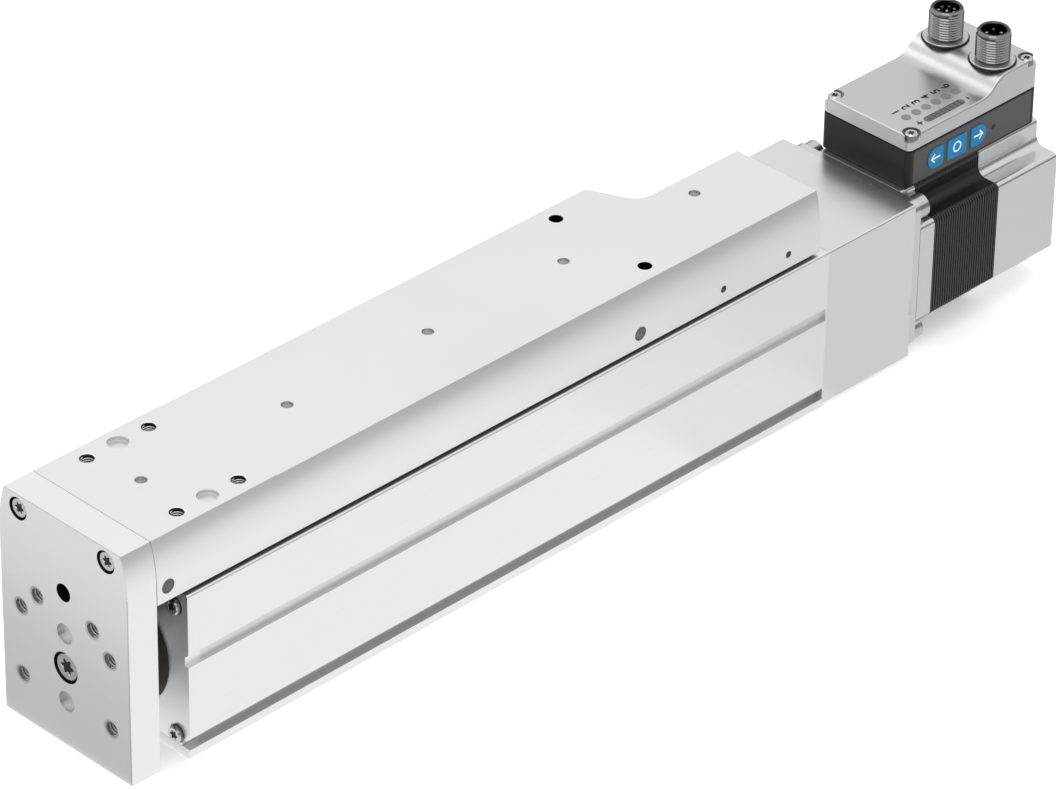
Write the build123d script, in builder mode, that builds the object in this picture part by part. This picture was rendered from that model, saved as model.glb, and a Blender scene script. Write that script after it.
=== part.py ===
from build123d import *
import os
from math import floor, radians, tan

os.makedirs("parts", exist_ok=True)

# An electric mini slide: a spindle drive pushes a piston rod out of a square
# housing, and the rod carries a slide table on a rail guide. Millimetres.
# X runs along the slide from the yoke plate to the motor, Z is up, and the
# origin is the centre of the housing's mounting face.

# Stroke and guide
stroke = 200.0
stroke_reserve = 3.0
rail_width = 15.0
rail_height = 15.0
rail_pitch = 60.0
rail_end_margin = 19.9
rail_screw_size = 4.0
rail_tip_depth = 2.2
rail_counterbore = 7.5
rail_head_height = 4.0
rail_head_radius = 3.5
rail_counterbore_depth = 5.3
rail_waist = 10.6
rail_neck_low = 3.2
rail_neck_high = 8.2
rail_bevel = 1.0
carriage_width = 34.0
carriage_block = 26.0
carriage_end_cap = 4.0
carriage_cap_inset = 0.6
carriage_gap = 3.0
carriage_front_inset = 1.5
carriage_count = 2
carriage_bolt_spacing = 26.0
carriage_bolt_pitch = 16.0
carriage_bolt_size = 4.0
carriage_bolt_length = 8.5
carriage_bolt_seat = 3.5
carriage_head_radius = 3.5
carriage_head_height = 4.0
carriage_head_reach = 12.0
guide_assembly_height = 24.0
guide_underside_gap = 4.3
guide_clearance = 0.05

# Housing profile
housing_width = 60.0
housing_height = 60.0
housing_overhead = 82.0
axis_height = 30.0
bore_radius = 18.5
channel_depth = 8.5
channel_width = 38.0
outer_edge_radius = 0.8
side_groove_low = 33.9
side_groove_height = 4.6
side_groove_depth = 1.6
side_groove_round = 1.4
base_groove_low = 3.4
base_groove_height = 4.2
base_groove_depth = 3.6
base_groove_step = 1.4
base_groove_shelf = 1.5
base_hole_spacing = 40.0
base_hole_pitch = 60.0
base_hole_count = 4
base_tap_drill = 5.0
base_tap_depth = 9.0
centring_bore = 7.0
centring_depth = 1.6

# Front cover, rod seal and rod guide
front_cover_thickness = 6.0
cover_screw_side = 5.7
cover_screw_low = 7.1
cover_screw_top = 5.7
cover_screw_size = 3.0
cover_screw_length = 14.0
cover_head_radius = 2.9
cover_head_height = 2.4
cover_head_recess = 3.3
cover_head_sink = 0.8
cover_seam = 0.1
seal_cap_radius = 21.1
seal_cap_thickness = 3.4
seal_cap_recess = 2.0
seal_cap_edge = 1.2
bush_wall = 2.0
bush_length = 20.0
bush_boss_wall = 3.0
wiper_width = 3.0

# Piston rod, ball nut and spindle
rod_radius = 11.0
rod_bore_radius = 7.6
nut_radius = 16.0
nut_body_radius = 14.0
nut_chamfer = 1.0
nut_length = 40.0
nut_flange_length = 8.0
nut_spigot_length = 10.0
spindle_radius = 6.0
spindle_tip = 1.0
spindle_chamfer = 1.0
rod_nose = 26.0
running_clearance = 0.05
seat_gap = 0.02
thread_reserve = 1.0
cut_beyond = 1.0
socket_ratio = 0.4
socket_depth_ratio = 0.55
screw_edge = 0.4
thread_mouth_depth = 0.3
edge_break = 0.3
match_tolerance = 0.01
upward_slope = 0.1
buffer_length = 6.0
buffer_radius = 17.0
buffer_gap = 1.0

# Table and yoke plate
table_plate = 7.8
table_edge_half = 26.2
table_side_half = 28.7
table_gap = 1.2
table_flare_drop = 15.0
table_length = 289.5
table_channel_width = 38.6
notch_start = 53.2
notch_slant = 7.9
notch_half = 8.9
notch_round = 8.0
pad_length = 51.1
pad_height = 0.25
pad_hole_x = 28.6
pad_hole_spacing = 40.0
pad_hole_pitch = 25.0
pad_tap_drill = 4.2
pad_tap_depth = 7.0
pad_tap_mouth = 5.2
access_hole_inset = 73.0
access_hole_y = 19.8
access_hole_radius = 2.25
side_hole_radius = 2.5
side_hole_z = 66.4
side_hole_front = 4.4
side_hole_rear = 83.6
side_hole_depth = 3.6
sensor_hole_radius = 1.25
sensor_hole_insets = (15.0, 45.4)
yoke_thickness = 12.0
yoke_low = 0.8
yoke_gap = 10.7
yoke_screw_y = 19.6
yoke_screw_drop = 5.0
yoke_screw_size = 4.0
yoke_screw_length = 18.0
yoke_head_radius = 3.5
yoke_head_height = 4.0
yoke_counterbore = 7.7
rod_screw_size = 6.0
rod_screw_length = 22.0
rod_head_radius = 5.0
rod_head_height = 6.0
rod_counterbore = 10.7
head_sink = 0.5
yoke_thread_drill = 5.0
yoke_thread_mouth = 6.8
yoke_hole_spacing = 40.0
yoke_hole_pitch = 25.0
yoke_extra_spacing = 25.0
yoke_extra_z = 50.0
yoke_window_radius = 3.0
yoke_window_z = 57.5

# Coupling housing and spindle bearing
coupling_length = 42.5
coupling_low = 1.0
coupling_bore_radius = 15.0
coupling_screw_y = 24.5
coupling_screw_rise = 15.0
coupling_screw_size = 4.0
coupling_screw_engagement = 12.0
coupling_head_radius = 3.5
coupling_head_height = 4.0
coupling_head_seat = 8.0
bearing_outer_radius = 13.0
bearing_bore_radius = 5.0
bearing_width = 8.0
bearing_count = 2
bearing_ring = 2.4
bearing_shoulder = 1.6
spindle_ball_count = 10
bearing_seat_depth = 3.0
spigot_length = 3.0
retainer_bore_radius = 10.4
retainer_width = 3.0
lock_nut_radius = 8.5
lock_nut_width = 4.0
lock_nut_slot = 1.2
lock_nut_slots = 4
hub_radius = 12.5
hub_length = 7.0
hub_gap = 1.0
jaw_length = 4.0
jaw_end_gap = 0.4
jaw_inner_radius = 6.0
jaw_count = 3
jaw_angle = 52.0
journal_radius = 4.0
pry_slot_length = 6.4
pry_slot_width = 1.2
pry_slot_depth = 1.6
pry_slot_side_z = 21.0
pry_slot_top_y = -13.3

# Motor
motor_half = 28.2
motor_arm_half = 18.7
motor_neck_round = 3.5
motor_corner_round = 1.8
flange_thickness = 5.0
flange_corner = 4.0
bell_length = 6.9
stator_length = 32.0
rear_housing_length = 26.4
end_plate_length = 3.6
motor_screw_spacing = 47.14
motor_screw_size = 5.0
motor_screw_length = 14.0
motor_head_radius = 4.25
motor_head_height = 5.0
pilot_radius = 19.05
pilot_length = 1.6
shaft_radius = 4.0
shaft_hole_radius = 5.5
pilot_bore_radius = 13.4
stator_bore_radius = 17.0
air_gap = 0.3
rotor_inset = 3.0
motor_bearing_radius = 11.0
motor_bearing_width = 7.0
motor_bearing_ring = 2.1
motor_bearing_shoulder = 1.4
motor_ball_count = 7
end_screw_spacing = 44.0
end_screw_offset = 13.0
end_screw_size = 3.0
end_screw_length = 9.0
end_head_radius = 2.75
end_head_height = 2.0
end_plate_chamfer = 0.4
shaft_tail = 2.0
shaft_chamfer = 0.4
encoder_shoulder = 1.5
encoder_gap = 1.0
encoder_radius = 9.0
encoder_thickness = 3.0
encoder_board_radius = 15.0
board_thickness = 1.6

# Drive unit on the motor
drive_start = 2.1
drive_length = 64.0
drive_half = 19.5
drive_box_high = 72.2
drive_corner = 2.0
drive_wall = 2.4
drive_floor = 2.0
drive_post_radius = 3.2
drive_cavity_corner = 0.5
gasket_thickness = 0.5
cover_low_height = 5.5
cover_high = 84.0
cover_ramp_start = 35.6
cover_ramp_end = 49.0
cover_wall = 2.0
cover_cavity_back = 1.0
gasket_inset = 0.3
gasket_width = 1.8
cover_edge_round = 0.8
drive_screw_inset_x = 3.4
drive_screw_inset_y = 2.4
drive_screw_size = 2.5
drive_screw_engagement = 6.0
drive_head_radius = 2.25
drive_head_height = 2.2
drive_pocket_radius = 3.1
drive_pocket_depth = 2.4
drive_board_rise = 3.0
drive_board_length = 48.0
drive_board_margin = 0.6
board_pillar_radius = 2.0
connector_x = 50.6
connector_spacing = 21.0
connector_thread_radius = 6.0
connector_thread_chamfer = 0.7
connector_height = 12.0
connector_bore_radius = 4.3
connector_well = 8.0
connector_foot_radius = 7.4
connector_foot_height = 1.0
connector_ring_radius = 8.2
connector_ring_height = 0.4
connector_stem_radius = 6.8
connector_stem_length = 6.0
pin_radius = 0.5
pin_height = 6.5
pin_root = 2.0
power_pin_circle = 2.4
power_pin_count = 4
signal_pin_circle = 2.75
signal_pin_count = 7
lamp_radius = 1.7
lamp_first_x = 9.2
lamp_pitch = 4.92
lamp_count = 6
lamp_y = -9.5
bar_first_x = 12.1
bar_length = 19.2
bar_width = 3.0
bar_y = -15.3
bar_segments = 9
bar_gap = 0.3
lamp_proud = 0.1
panel_thickness = 0.7
panel_low = 59.4
panel_high = 71.6
panel_inset = 2.6
key_clearance = 0.08
key_travel = 0.4
key_height = 7.6
key_z = 65.4
key_side_length = 7.6
key_middle_length = 9.5
key_gap = 2.2
key_first_x = 9.4
key_proud = 0.35
key_corner = 0.8
key_rim = 0.6
key_rim_thickness = 0.4
key_well_reserve = 0.1
status_lamp_x = 42.2
status_lamp_radius = 1.0

# Places that follow from the sizes
housing_length = stroke + housing_overhead
front = -housing_length / 2
rear = housing_length / 2
channel_floor = housing_height - channel_depth
table_front = front - yoke_gap
table_rear = table_front + table_length
yoke_front = table_front - yoke_thickness
table_underside = channel_floor + guide_assembly_height
rail_low = table_underside - rail_height
table_top = table_underside + table_plate
table_side_low = housing_height + table_gap
coupling_rear = rear + coupling_length
flange_rear = coupling_rear + flange_thickness
bell_rear = flange_rear + bell_length
stator_rear = bell_rear + stator_length
rear_housing_rear = stator_rear + rear_housing_length
motor_rear = rear_housing_rear + end_plate_length
drive_front = flange_rear + drive_start
drive_centre = drive_front + drive_length / 2
drive_rear = drive_front + drive_length
drive_low = axis_height + motor_half
drive_screw_places = [
    (
        drive_centre + end * (drive_length / 2 - drive_screw_inset_x),
        side * (drive_half - drive_screw_inset_y),
    )
    for end in (-1, 1)
    for side in (1, -1)
]
lamp_places = [
    (drive_front + lamp_first_x + i * lamp_pitch, lamp_y) for i in range(lamp_count)
]
bar_place = (drive_front + bar_first_x + bar_length / 2, bar_y)
connector_places = [
    (drive_front + connector_x, side * connector_spacing / 2) for side in (1, -1)
]
cover_low = drive_box_high + gasket_thickness
cover_step = cover_low + cover_low_height
bearing_front = rear + bearing_seat_depth
bearing_rear = bearing_front + bearing_count * bearing_width
nut_rear = rear - spigot_length - buffer_length - stroke_reserve
nut_front = nut_rear - nut_length
rod_rear = nut_front + nut_spigot_length
spindle_front = nut_front - stroke - spindle_tip
bush_front = front + seal_cap_recess
boss_end = bush_front + bush_length
hub_a_start = bearing_rear + lock_nut_width + hub_gap
hub_a_end = hub_a_start + hub_length
hub_b_start = hub_a_end + jaw_length
hub_b_end = hub_b_start + hub_length
cover_screw_y = housing_width / 2 - cover_screw_side
cover_screw_high = housing_height - cover_screw_top
cover_screw_places = [
    (side * cover_screw_y, z) for side in (1, -1) for z in (cover_screw_low, cover_screw_high)
]
coupling_screw_places = [
    (side * coupling_screw_y, axis_height + rise * coupling_screw_rise)
    for side in (1, -1)
    for rise in (1, -1)
]
motor_screw_places = [
    (side * motor_screw_spacing / 2, axis_height + rise * motor_screw_spacing / 2)
    for side in (1, -1)
    for rise in (1, -1)
]
end_screw_places = [
    (side * end_screw_spacing / 2, axis_height + rise * end_screw_offset)
    for side in (1, -1)
    for rise in (1, -1)
]
rail_screw_count = 1 + floor((table_length - 2 * rail_end_margin) / rail_pitch)
rail_screw_places = [
    (table_front + rail_end_margin + i * rail_pitch, 0) for i in range(rail_screw_count)
]
pad_x = table_front + pad_hole_x
pad_thread_places = [
    (pad_x + along * pad_hole_pitch / 2, side * pad_hole_spacing / 2)
    for along in (1, -1)
    for side in (1, -1)
]
pad_centring_places = [(pad_x, pad_hole_spacing / 2), (pad_x, -pad_hole_spacing / 2)]
yoke_screw_z = table_top - yoke_screw_drop
yoke_screw_places = [(yoke_screw_y, yoke_screw_z), (-yoke_screw_y, yoke_screw_z)]
yoke_thread_places = [
    (side * yoke_hole_spacing / 2, axis_height + rise * yoke_hole_pitch / 2)
    for side in (1, -1)
    for rise in (1, -1)
] + [(side * yoke_extra_spacing / 2, yoke_extra_z) for side in (1, -1)]
carriage_top = table_underside - guide_underside_gap
carriage_length = carriage_block + 2 * carriage_end_cap
carriage_starts = [
    front + front_cover_thickness + carriage_front_inset + i * (carriage_length + carriage_gap)
    for i in range(carriage_count)
]
carriage_bolt_places = [
    (start + carriage_length / 2 + along * carriage_bolt_pitch / 2, side * carriage_bolt_spacing / 2)
    for start in carriage_starts
    for along in (1, -1)
    for side in (1, -1)
]


def yz(x):
    """A sketch plane across the slide at the given X, facing the motor."""
    return Plane.YZ.offset(x)


def facing_front(x):
    """A plane across the slide at the given X, facing the yoke side."""
    return Plane(origin=(x, 0, 0), x_dir=(0, -1, 0), z_dir=(-1, 0, 0))


def socket_screw(size, length, head_radius, head_height):
    """A cap screw along Z: its seat is at the origin, its shank points down."""
    with BuildPart() as screw:
        Cylinder(head_radius, head_height, align=(Align.CENTER, Align.CENTER, Align.MIN))
        top = screw.faces().sort_by(Axis.Z)[-1]
        chamfer(top.edges(), screw_edge)
        with Locations((0, 0, head_height)):
            Cylinder(
                size * socket_ratio,
                head_height * socket_depth_ratio,
                align=(Align.CENTER, Align.CENTER, Align.MAX),
                mode=Mode.SUBTRACT,
            )
        Cylinder(size / 2, length, align=(Align.CENTER, Align.CENTER, Align.MAX))
    return screw.part


def thread_mouths(plane, places, drill, mouth):
    """Countersunk mouths of threaded holes, from a plane that faces outward."""
    with BuildPart(plane) as cones:
        with Locations(*places):
            Cone(
                drill / 2,
                mouth / 2,
                thread_mouth_depth,
                align=(Align.CENTER, Align.CENTER, Align.MAX),
            )
    return cones.part


def ring(x_start, x_end, outer, inner):
    """A ring or sleeve about the spindle axis, between two X places."""
    with BuildPart() as body:
        with BuildSketch(yz(x_start)):
            with Locations((0, axis_height)):
                Circle(outer)
                if inner > 0:
                    Circle(inner, mode=Mode.SUBTRACT)
        extrude(amount=x_end - x_start)
    return body.part


def housing_outline():
    """The outer shape of the housing profile with its side and base grooves."""
    with BuildSketch(Plane.XY) as outline:
        Rectangle(housing_width, housing_height, align=(Align.CENTER, Align.MIN))
        fillet(outline.vertices(), outer_edge_radius)
        for side in (1, -1):
            edge = side * housing_width / 2
            inner = edge - side * side_groove_depth
            with BuildLine():
                top = side_groove_low + side_groove_height
                Polyline(
                    (edge + side, top),
                    (edge, top),
                    (inner, top - side_groove_round),
                    (inner, side_groove_low),
                    (edge + side, side_groove_low),
                    close=True,
                )
            make_face(mode=Mode.SUBTRACT)
            with Locations((edge, base_groove_low)):
                Rectangle(
                    2 * base_groove_depth,
                    base_groove_height - base_groove_shelf,
                    align=(Align.CENTER, Align.MIN),
                    mode=Mode.SUBTRACT,
                )
                Rectangle(
                    2 * base_groove_step,
                    base_groove_height,
                    align=(Align.CENTER, Align.MIN),
                    mode=Mode.SUBTRACT,
                )
    return outline.sketch


def table_outline(low, high):
    """The outer shape of the table and yoke: flat top, flared sides."""
    flare_low = high - table_flare_drop
    with BuildSketch(Plane.XY) as outline:
        with BuildLine():
            Line((-table_side_half, low), (table_side_half, low))
            Line((table_side_half, low), (table_side_half, flare_low))
            TangentArc((table_side_half, flare_low), (table_edge_half, high), tangent=(0, 1))
            Line((table_edge_half, high), (-table_edge_half, high))
            TangentArc((-table_side_half, flare_low), (-table_edge_half, high), tangent=(0, 1))
            Line((-table_side_half, flare_low), (-table_side_half, low))
        make_face()
    return outline.sketch


def motor_section(half, arm):
    """The motor's cross shape, with concave corners where its screws sit."""
    with BuildSketch(Plane.XY) as section:
        with Locations((0, axis_height)):
            Rectangle(2 * half, 2 * arm)
            Rectangle(2 * arm, 2 * half)
        hollow = section.vertices().filter_by(
            lambda v: abs(abs(v.X) - arm) < match_tolerance
            and abs(abs(v.Y - axis_height) - arm) < match_tolerance
        )
        fillet(hollow, motor_neck_round)
        outer = section.vertices().filter_by(
            lambda v: abs(abs(v.X) - half) < match_tolerance
            or abs(abs(v.Y - axis_height) - half) < match_tolerance
        )
        fillet(outer, motor_corner_round)
    return section.sketch


def jaw_sketch(start_angle):
    """Coupling jaws between two radii, as sectors of a ring."""
    reach = 2 * hub_radius
    rise = reach * tan(radians(jaw_angle / 2))
    with BuildSketch(Plane.XY) as wedge:
        with BuildLine():
            Polyline((0, 0), (reach, rise), (reach, -rise), close=True)
        make_face()
    with BuildSketch(Plane.XY) as jaws:
        with PolarLocations(0, jaw_count, start_angle=start_angle):
            add(wedge.sketch)
        Circle(hub_radius, mode=Mode.INTERSECT)
        Circle(jaw_inner_radius, mode=Mode.SUBTRACT)
    return jaws.sketch


def rail_outline(grow=0.0):
    """The hanging rail's section: a head with a waist that the blocks grip."""
    half = rail_width / 2
    waist = rail_waist / 2
    mid = (rail_neck_low + rail_neck_high) / 2
    with BuildSketch(Plane.XY) as outline:
        with BuildLine():
            right = [
                (half - rail_bevel, rail_low),
                (half, rail_low + rail_bevel),
                (half, rail_low + rail_neck_low),
                (waist, rail_low + mid),
                (half, rail_low + rail_neck_high),
                (half, table_underside),
            ]
            left = [(-y, z) for y, z in reversed(right)]
            Polyline(*right, *left, close=True)
        make_face()
        if grow > 0:
            offset(amount=grow, kind=Kind.INTERSECTION)
    return outline.sketch


# Housing profile
profile_outline = housing_outline()
with BuildPart() as housing_profile:
    with BuildSketch(yz(front)):
        add(profile_outline)
        with Locations((0, axis_height)):
            Circle(bore_radius, mode=Mode.SUBTRACT)
        with Locations((0, channel_floor)):
            Rectangle(
                channel_width,
                housing_height,
                align=(Align.CENTER, Align.MIN),
                mode=Mode.SUBTRACT,
            )
    extrude(amount=housing_length)
    with BuildSketch(yz(front)):
        with Locations((0, base_groove_low)):
            Rectangle(
                housing_width + cut_beyond,
                housing_height,
                align=(Align.CENTER, Align.MIN),
            )
    extrude(amount=front_cover_thickness, mode=Mode.SUBTRACT)
    with BuildSketch(Plane.XY):
        with GridLocations(base_hole_pitch, base_hole_spacing, base_hole_count, 2):
            Circle(base_tap_drill / 2)
    extrude(amount=base_tap_depth, mode=Mode.SUBTRACT)
    with BuildSketch(Plane.XY):
        with GridLocations(base_hole_pitch * (base_hole_count - 2), 1, 2, 1):
            Circle(centring_bore / 2)
    extrude(amount=centring_depth, mode=Mode.SUBTRACT)
    with BuildSketch(yz(front + front_cover_thickness)):
        with Locations(*cover_screw_places):
            Circle(cover_screw_size / 2)
    cover_screw_reach = cover_screw_length + cover_head_sink - front_cover_thickness
    extrude(amount=cover_screw_reach + thread_reserve, mode=Mode.SUBTRACT)
    with BuildSketch(yz(rear)):
        with Locations(*coupling_screw_places):
            Circle(coupling_screw_size / 2)
    extrude(amount=-coupling_screw_engagement, mode=Mode.SUBTRACT)
    with BuildSketch(Plane.XY.offset(channel_floor)):
        with Locations(*carriage_bolt_places):
            Circle(carriage_bolt_size / 2)
    extrude(amount=-carriage_bolt_seat, mode=Mode.SUBTRACT)
    with BuildSketch(Plane.XY.offset(channel_floor - carriage_bolt_seat)):
        with Locations(*carriage_bolt_places):
            Circle(carriage_head_radius + seat_gap)
    extrude(amount=-carriage_head_reach, mode=Mode.SUBTRACT)
housing_profile.part.label = "housing_profile"
export_step(housing_profile.part, "parts/housing_profile.step")

# Front cover with the boss that guides the rod
with BuildPart() as front_cover:
    with BuildSketch(yz(front)):
        add(profile_outline)
        with Locations((0, 0)):
            Rectangle(
                housing_width + cut_beyond,
                2 * (base_groove_low + cover_seam),
                mode=Mode.SUBTRACT,
            )
    extrude(amount=front_cover_thickness)
    with BuildSketch(yz(front)):
        with Locations((0, axis_height)):
            Circle(rod_radius + bush_wall + bush_boss_wall)
    extrude(amount=boss_end - front)
    with BuildSketch(yz(front)):
        with Locations((0, axis_height)):
            Circle(rod_radius + bush_wall + seat_gap)
    extrude(amount=boss_end - front, mode=Mode.SUBTRACT)
    with BuildSketch(yz(front)):
        with Locations((0, axis_height)):
            Circle(seal_cap_radius + seat_gap)
    extrude(amount=seal_cap_recess, mode=Mode.SUBTRACT)
    with BuildSketch(yz(front)):
        with Locations(*cover_screw_places):
            Circle(cover_screw_size / 2)
    extrude(amount=front_cover_thickness, mode=Mode.SUBTRACT)
    with BuildSketch(yz(front)):
        with Locations(*cover_screw_places):
            Circle(cover_head_recess)
    extrude(amount=cover_head_sink, mode=Mode.SUBTRACT)
front_cover.part.label = "front_cover"
export_step(front_cover.part, "parts/front_cover.step")

cover_screw = socket_screw(
    cover_screw_size, cover_screw_length, cover_head_radius, cover_head_height
)
with BuildPart(facing_front(front + cover_head_sink)) as front_cover_screws:
    with Locations(*cover_screw_places):
        add(cover_screw)
front_cover_screws.part.label = "front_cover_screws"
export_step(front_cover_screws.part, "parts/front_cover_screws.step")

# Rod seal: a black cap with a wiper ring inside, and the guide bush behind
with BuildPart() as rod_seal_cap:
    cap_front = front + seal_cap_recess - seal_cap_thickness
    add(ring(cap_front, front + seal_cap_recess, seal_cap_radius, rod_radius + wiper_width))
    rim = rod_seal_cap.edges().filter_by(GeomType.CIRCLE).group_by(Axis.X)[0]
    chamfer(rim.sort_by(SortBy.RADIUS)[-1], seal_cap_edge)
rod_seal_cap.part.label = "rod_seal_cap"
export_step(rod_seal_cap.part, "parts/rod_seal_cap.step")

with BuildPart() as rod_wiper:
    add(
        ring(
            cap_front + seal_cap_edge / 2,
            front + seal_cap_recess,
            rod_radius + wiper_width - seat_gap,
            rod_radius + running_clearance,
        )
    )
rod_wiper.part.label = "rod_wiper"
export_step(rod_wiper.part, "parts/rod_wiper.step")

with BuildPart() as rod_bush:
    add(ring(bush_front, boss_end, rod_radius + bush_wall, rod_radius + running_clearance))
rod_bush.part.label = "rod_bush"
export_step(rod_bush.part, "parts/rod_bush.step")

with BuildPart() as front_buffer:
    add(ring(boss_end, boss_end + buffer_length, buffer_radius, rod_radius + buffer_gap))
front_buffer.part.label = "front_buffer"
export_step(front_buffer.part, "parts/front_buffer.step")

with BuildPart() as rear_buffer:
    add(
        ring(
            rear - spigot_length - buffer_length,
            rear - spigot_length,
            buffer_radius,
            spindle_radius + buffer_gap,
        )
    )
rear_buffer.part.label = "rear_buffer"
export_step(rear_buffer.part, "parts/rear_buffer.step")

# Slide table with the raised mounting pad and the cut-away rear corner
with BuildPart() as slide_table:
    with BuildSketch(yz(table_front)):
        add(table_outline(table_side_low, table_top))
    extrude(amount=pad_length)
    with BuildSketch(yz(table_front + pad_length)):
        add(table_outline(table_side_low, table_top - pad_height))
    extrude(amount=table_length - pad_length)
    with BuildSketch(yz(table_front)):
        with Locations((0, table_side_low)):
            Rectangle(
                table_channel_width,
                table_underside - table_side_low,
                align=(Align.CENTER, Align.MIN),
            )
    extrude(amount=table_length, mode=Mode.SUBTRACT)
    with BuildSketch(Plane.XY.offset(table_side_low)) as notch:
        notch_x = table_rear - notch_start
        beyond = table_side_half + cut_beyond
        slope = notch_slant / (table_edge_half - notch_half)
        with BuildLine():
            Polyline(
                (notch_x - slope * (beyond - table_edge_half), beyond),
                (notch_x + notch_slant, notch_half),
                (table_rear + cut_beyond, notch_half),
                (table_rear + cut_beyond, beyond),
                close=True,
            )
        make_face()
        inner = notch.vertices().sort_by(Axis.Y)[0:2].sort_by(Axis.X)[0]
        fillet(inner, notch_round)
    extrude(amount=table_top, mode=Mode.SUBTRACT)
    with BuildSketch(Plane.XY.offset(table_top)):
        with Locations(*pad_thread_places):
            Circle(pad_tap_drill / 2)
    extrude(amount=-pad_tap_depth, mode=Mode.SUBTRACT)
    pad_mouths = thread_mouths(
        Plane.XY.offset(table_top), pad_thread_places, pad_tap_drill, pad_tap_mouth
    )
    add(pad_mouths, mode=Mode.SUBTRACT)
    with BuildSketch(Plane.XY.offset(table_top)):
        with Locations(*pad_centring_places):
            Circle(centring_bore / 2)
    extrude(amount=-centring_depth, mode=Mode.SUBTRACT)
    with BuildSketch(Plane.XY.offset(table_top)):
        with Locations(*rail_screw_places):
            Circle(rail_screw_size / 2)
    extrude(amount=-table_plate, mode=Mode.SUBTRACT)
    with BuildSketch(Plane.XY.offset(table_top)):
        access_x = table_rear - access_hole_inset
        with Locations((access_x, access_hole_y), (access_x, -access_hole_y)):
            Circle(access_hole_radius)
    extrude(amount=table_side_low - table_top, mode=Mode.SUBTRACT)
    with BuildSketch(Plane.XZ.offset(table_side_half)):
        side_front_x = table_front + side_hole_front
        side_rear_x = table_rear - side_hole_rear
        with Locations((side_front_x, side_hole_z), (side_rear_x, side_hole_z)):
            Circle(side_hole_radius)
    extrude(amount=-side_hole_depth, mode=Mode.SUBTRACT)
    with BuildSketch(Plane.XZ.offset(table_side_half)):
        for inset in sensor_hole_insets:
            with Locations((table_rear - inset, side_hole_z)):
                Circle(sensor_hole_radius)
    extrude(amount=-side_hole_depth, mode=Mode.SUBTRACT)
    with BuildSketch(yz(table_front)):
        with Locations(*yoke_screw_places):
            Circle(yoke_screw_size / 2)
    yoke_screw_reach = yoke_head_height + head_sink + yoke_screw_length - yoke_thickness
    extrude(amount=yoke_screw_reach + thread_reserve, mode=Mode.SUBTRACT)
slide_table.part.label = "slide_table"
export_step(slide_table.part, "parts/slide_table.step")

# Yoke plate across the front, which joins the rod to the table
with BuildPart() as yoke_plate:
    with BuildSketch(yz(yoke_front)):
        add(table_outline(yoke_low, table_top))
    extrude(amount=yoke_thickness)
    yoke_rims = yoke_plate.faces().filter_by(Axis.X).edges()
    chamfer(yoke_rims, edge_break)
    with BuildSketch(yz(yoke_front)):
        with Locations(*yoke_screw_places):
            Circle(yoke_screw_size / 2)
        with Locations((0, axis_height)):
            Circle(rod_screw_size / 2)
        with Locations((0, yoke_window_z)):
            Circle(yoke_window_radius)
        with Locations(*yoke_thread_places):
            Circle(yoke_thread_drill / 2)
    extrude(amount=yoke_thickness, mode=Mode.SUBTRACT)
    with BuildSketch(yz(yoke_front)):
        with Locations(*yoke_screw_places):
            Circle(yoke_counterbore / 2)
    extrude(amount=yoke_head_height + head_sink, mode=Mode.SUBTRACT)
    with BuildSketch(yz(yoke_front)):
        with Locations((0, axis_height)):
            Circle(rod_counterbore / 2)
    extrude(amount=rod_head_height + head_sink, mode=Mode.SUBTRACT)
    with BuildSketch(yz(yoke_front)):
        for rise in (1, -1):
            with Locations((0, axis_height + rise * yoke_hole_pitch / 2)):
                Circle(centring_bore / 2)
    extrude(amount=centring_depth, mode=Mode.SUBTRACT)
    yoke_mouths = thread_mouths(
        facing_front(yoke_front), yoke_thread_places, yoke_thread_drill, yoke_thread_mouth
    )
    add(yoke_mouths, mode=Mode.SUBTRACT)
yoke_plate.part.label = "yoke_plate"
export_step(yoke_plate.part, "parts/yoke_plate.step")

yoke_screw = socket_screw(yoke_screw_size, yoke_screw_length, yoke_head_radius, yoke_head_height)
with BuildPart(facing_front(yoke_front + yoke_head_height + head_sink)) as yoke_screws:
    with Locations(*yoke_screw_places):
        add(yoke_screw)
yoke_screws.part.label = "yoke_screws"
export_step(yoke_screws.part, "parts/yoke_screws.step")

rod_screw_solid = socket_screw(
    rod_screw_size, rod_screw_length, rod_head_radius, rod_head_height
)
with BuildPart(facing_front(yoke_front + rod_head_height + head_sink)) as rod_screw:
    with Locations((0, axis_height)):
        add(rod_screw_solid)
rod_screw.part.label = "rod_screw"
export_step(rod_screw.part, "parts/rod_screw.step")

# Piston rod and ball nut
with BuildPart() as piston_rod:
    add(ring(table_front, rod_rear, rod_radius, 0))
    tube = ring(table_front + rod_nose, rod_rear, rod_bore_radius, 0)
    add(tube, mode=Mode.SUBTRACT)
    rod_screw_reach = rod_head_height + head_sink + rod_screw_length - yoke_thickness
    thread_end = table_front + rod_screw_reach + thread_reserve
    add(ring(table_front, thread_end, rod_screw_size / 2, 0), mode=Mode.SUBTRACT)
piston_rod.part.label = "piston_rod"
export_step(piston_rod.part, "parts/piston_rod.step")

with BuildPart() as ball_nut:
    add(ring(nut_front, rod_rear, rod_bore_radius - seat_gap, 0))
    add(ring(rod_rear, nut_rear, nut_body_radius, 0))
    add(ring(rod_rear, rod_rear + nut_flange_length, nut_radius, 0))
    add(
        ring(nut_front, nut_rear, spindle_radius + running_clearance, 0),
        mode=Mode.SUBTRACT,
    )
    rear_rim = ball_nut.edges().filter_by(GeomType.CIRCLE).group_by(Axis.X)[-1]
    chamfer(rear_rim.sort_by(SortBy.RADIUS)[-1], nut_chamfer)
ball_nut.part.label = "ball_nut"
export_step(ball_nut.part, "parts/ball_nut.step")

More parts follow.
